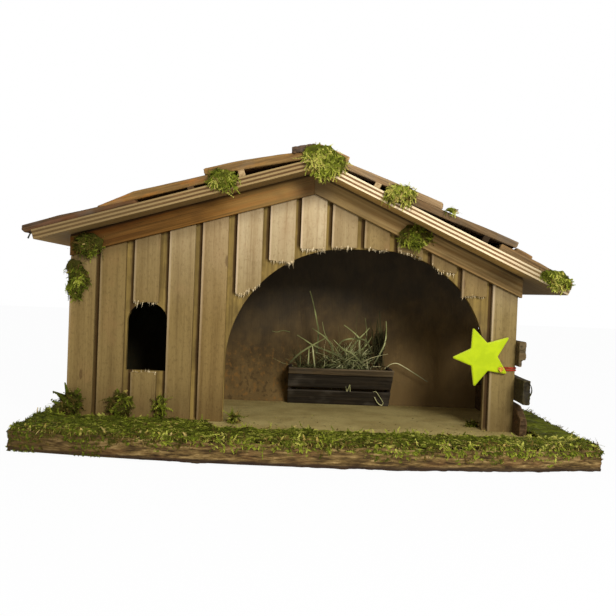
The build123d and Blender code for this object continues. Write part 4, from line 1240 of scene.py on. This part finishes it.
def splinters(look):
    rng = np.random.default_rng(77)
    points, faces = [], []
    for name in battenNames:
        low, high = boxOf(name)
        isSill = name == look["sill"]
        if low[2] < look["lowestEnd"] and not isSill:
            continue
        way = 1 if isSill else -1
        line = sawnEnd(name, way)
        for _ in range(look["frayed"].get(name, look["perEnd"])):
            x = rng.uniform(low[0] + 0.5, high[0] - 0.5)
            z = np.interp(x, *line)
            y = low[1] + look["deep"][0] + look["deep"][1] * rng.uniform() ** 2
            wide, long = rng.uniform(*look["width"]), rng.uniform(*look["length"])
            long *= look["sillLength"] if isSill else 1
            long *= look["longer"] if rng.uniform() < look["longShare"] else 1
            thick, lean = rng.uniform(*look["thick"]), rng.uniform(-look["lean"], look["lean"]) * long
            first = len(points)
            root = z - way * look["root"]
            points += [(x - wide, y - thick, root), (x + wide, y - thick, root), (x + wide, y + thick, root),
                       (x - wide, y + thick, root), (x + lean, y + rng.uniform(-0.4, 0.4), z + way * long)]
            faces += [(first + k, first + (k + 1) % 4, first + 4)[::-way] for k in range(4)]
            faces.append(tuple(first + k for k in (3, 2, 1, 0))[::-way])
    return facedMesh("splinters", points, faces)


tornFibre = threadFinish("tornFibre", (240, 220, 178), (208, 182, 134), 90)
link("torn_fibres", splinters(splinterLook), tornFibre)
looseSplinters = (
    ((202.4, -60.8, 69), (204.2, -61.3, 65.5), (204.9, -61.4, 61.5), (203.9, -61, 57.6), (202.2, -60.2, 55)),
    ((-252.6, -62.5, 189.2), (-254.6, -63, 186.4), (-256.3, -63.2, 182.4)),
)
bits = [ribbon(0.03, 1.5, line, 350 + order, 0) for order, line in enumerate(looseSplinters)]
link("loose_splinters", joined("loose_splinters", bits), hayTones)
print("stage: torn fibres added")

# camera at the photograph's place
cameraLook = {"place": (-0.0173, -0.8142, 0.1439), "yaw": -1.13, "pitch": 1.092, "roll": 2.228, "lens": 48.5}
camera = added("camera", bpy.data.cameras.new("camera"))
camera.data.sensor_width, camera.data.lens = 36, cameraLook["lens"]
camera.matrix_world = (Matrix.Translation(cameraLook["place"])
                       @ Matrix.Rotation(math.radians(cameraLook["yaw"]), 4, "Z")
                       @ Matrix.Rotation(math.radians(90 - cameraLook["pitch"]), 4, "X")
                       @ Matrix.Rotation(math.radians(cameraLook["roll"]), 4, "Z"))
scene.camera = camera
scene.view_settings.view_transform = "Standard"

# one soft key from the upper right, even fill and a pale floor
lightLook = {"fill": 0.42, "keyPower": 16.1, "keyPlace": (0.42, -1.3, 0.62), "keyTarget": (0, 0, 0.12),
             "keySize": 0.34, "floorWhite": 0.96, "floorHalf": 4000}
lamp = bpy.data.lights.new("keyLight", "AREA")
lamp.energy, lamp.size = lightLook["keyPower"], lightLook["keySize"]
keyLight = added("keyLight", lamp)
keyLight.location = lightLook["keyPlace"]
aim = Vector(lightLook["keyTarget"]) - Vector(lightLook["keyPlace"])
keyLight.rotation_euler = aim.to_track_quat("-Z", "Y").to_euler()
scene.world = bpy.data.worlds.new("studio")
sky = Finish("studio", scene.world, Color=(1, 1, 1, 1))
level = sky.node("MapRange", {}, {"Value": sky.seen(), "To Min": lightLook["fill"], "To Max": 1})
sky.feed(sky.shader.inputs["Strength"], level)

half = lightLook["floorHalf"]
floorMesh = facedMesh("studioFloor", [(-half, -half, 0), (half, -half, 0), (half, half, 0), (-half, half, 0)],
                      [(0, 1, 2, 3)])
studioFloor = added("studioFloor", floorMesh)
pale = Finish("paleFloor", Roughness=0.9, Base_Color=(0.9, 0.9, 0.9, 1))
white = pale.node("Emission", {}, {"Color": (1, 1, 1, 1), "Strength": 1})
amount = pale.seen() * lightLook["floorWhite"]
shown = pale.node("MixShader", {}, {0: amount, 1: Wire(pale, pale.shader.outputs[0]), 2: white})
pale.feed(pale.tree.nodes["Material Output"].inputs["Surface"], shown)
floorMesh.materials.append(pale.material)
print("stage: camera, floor and light set")
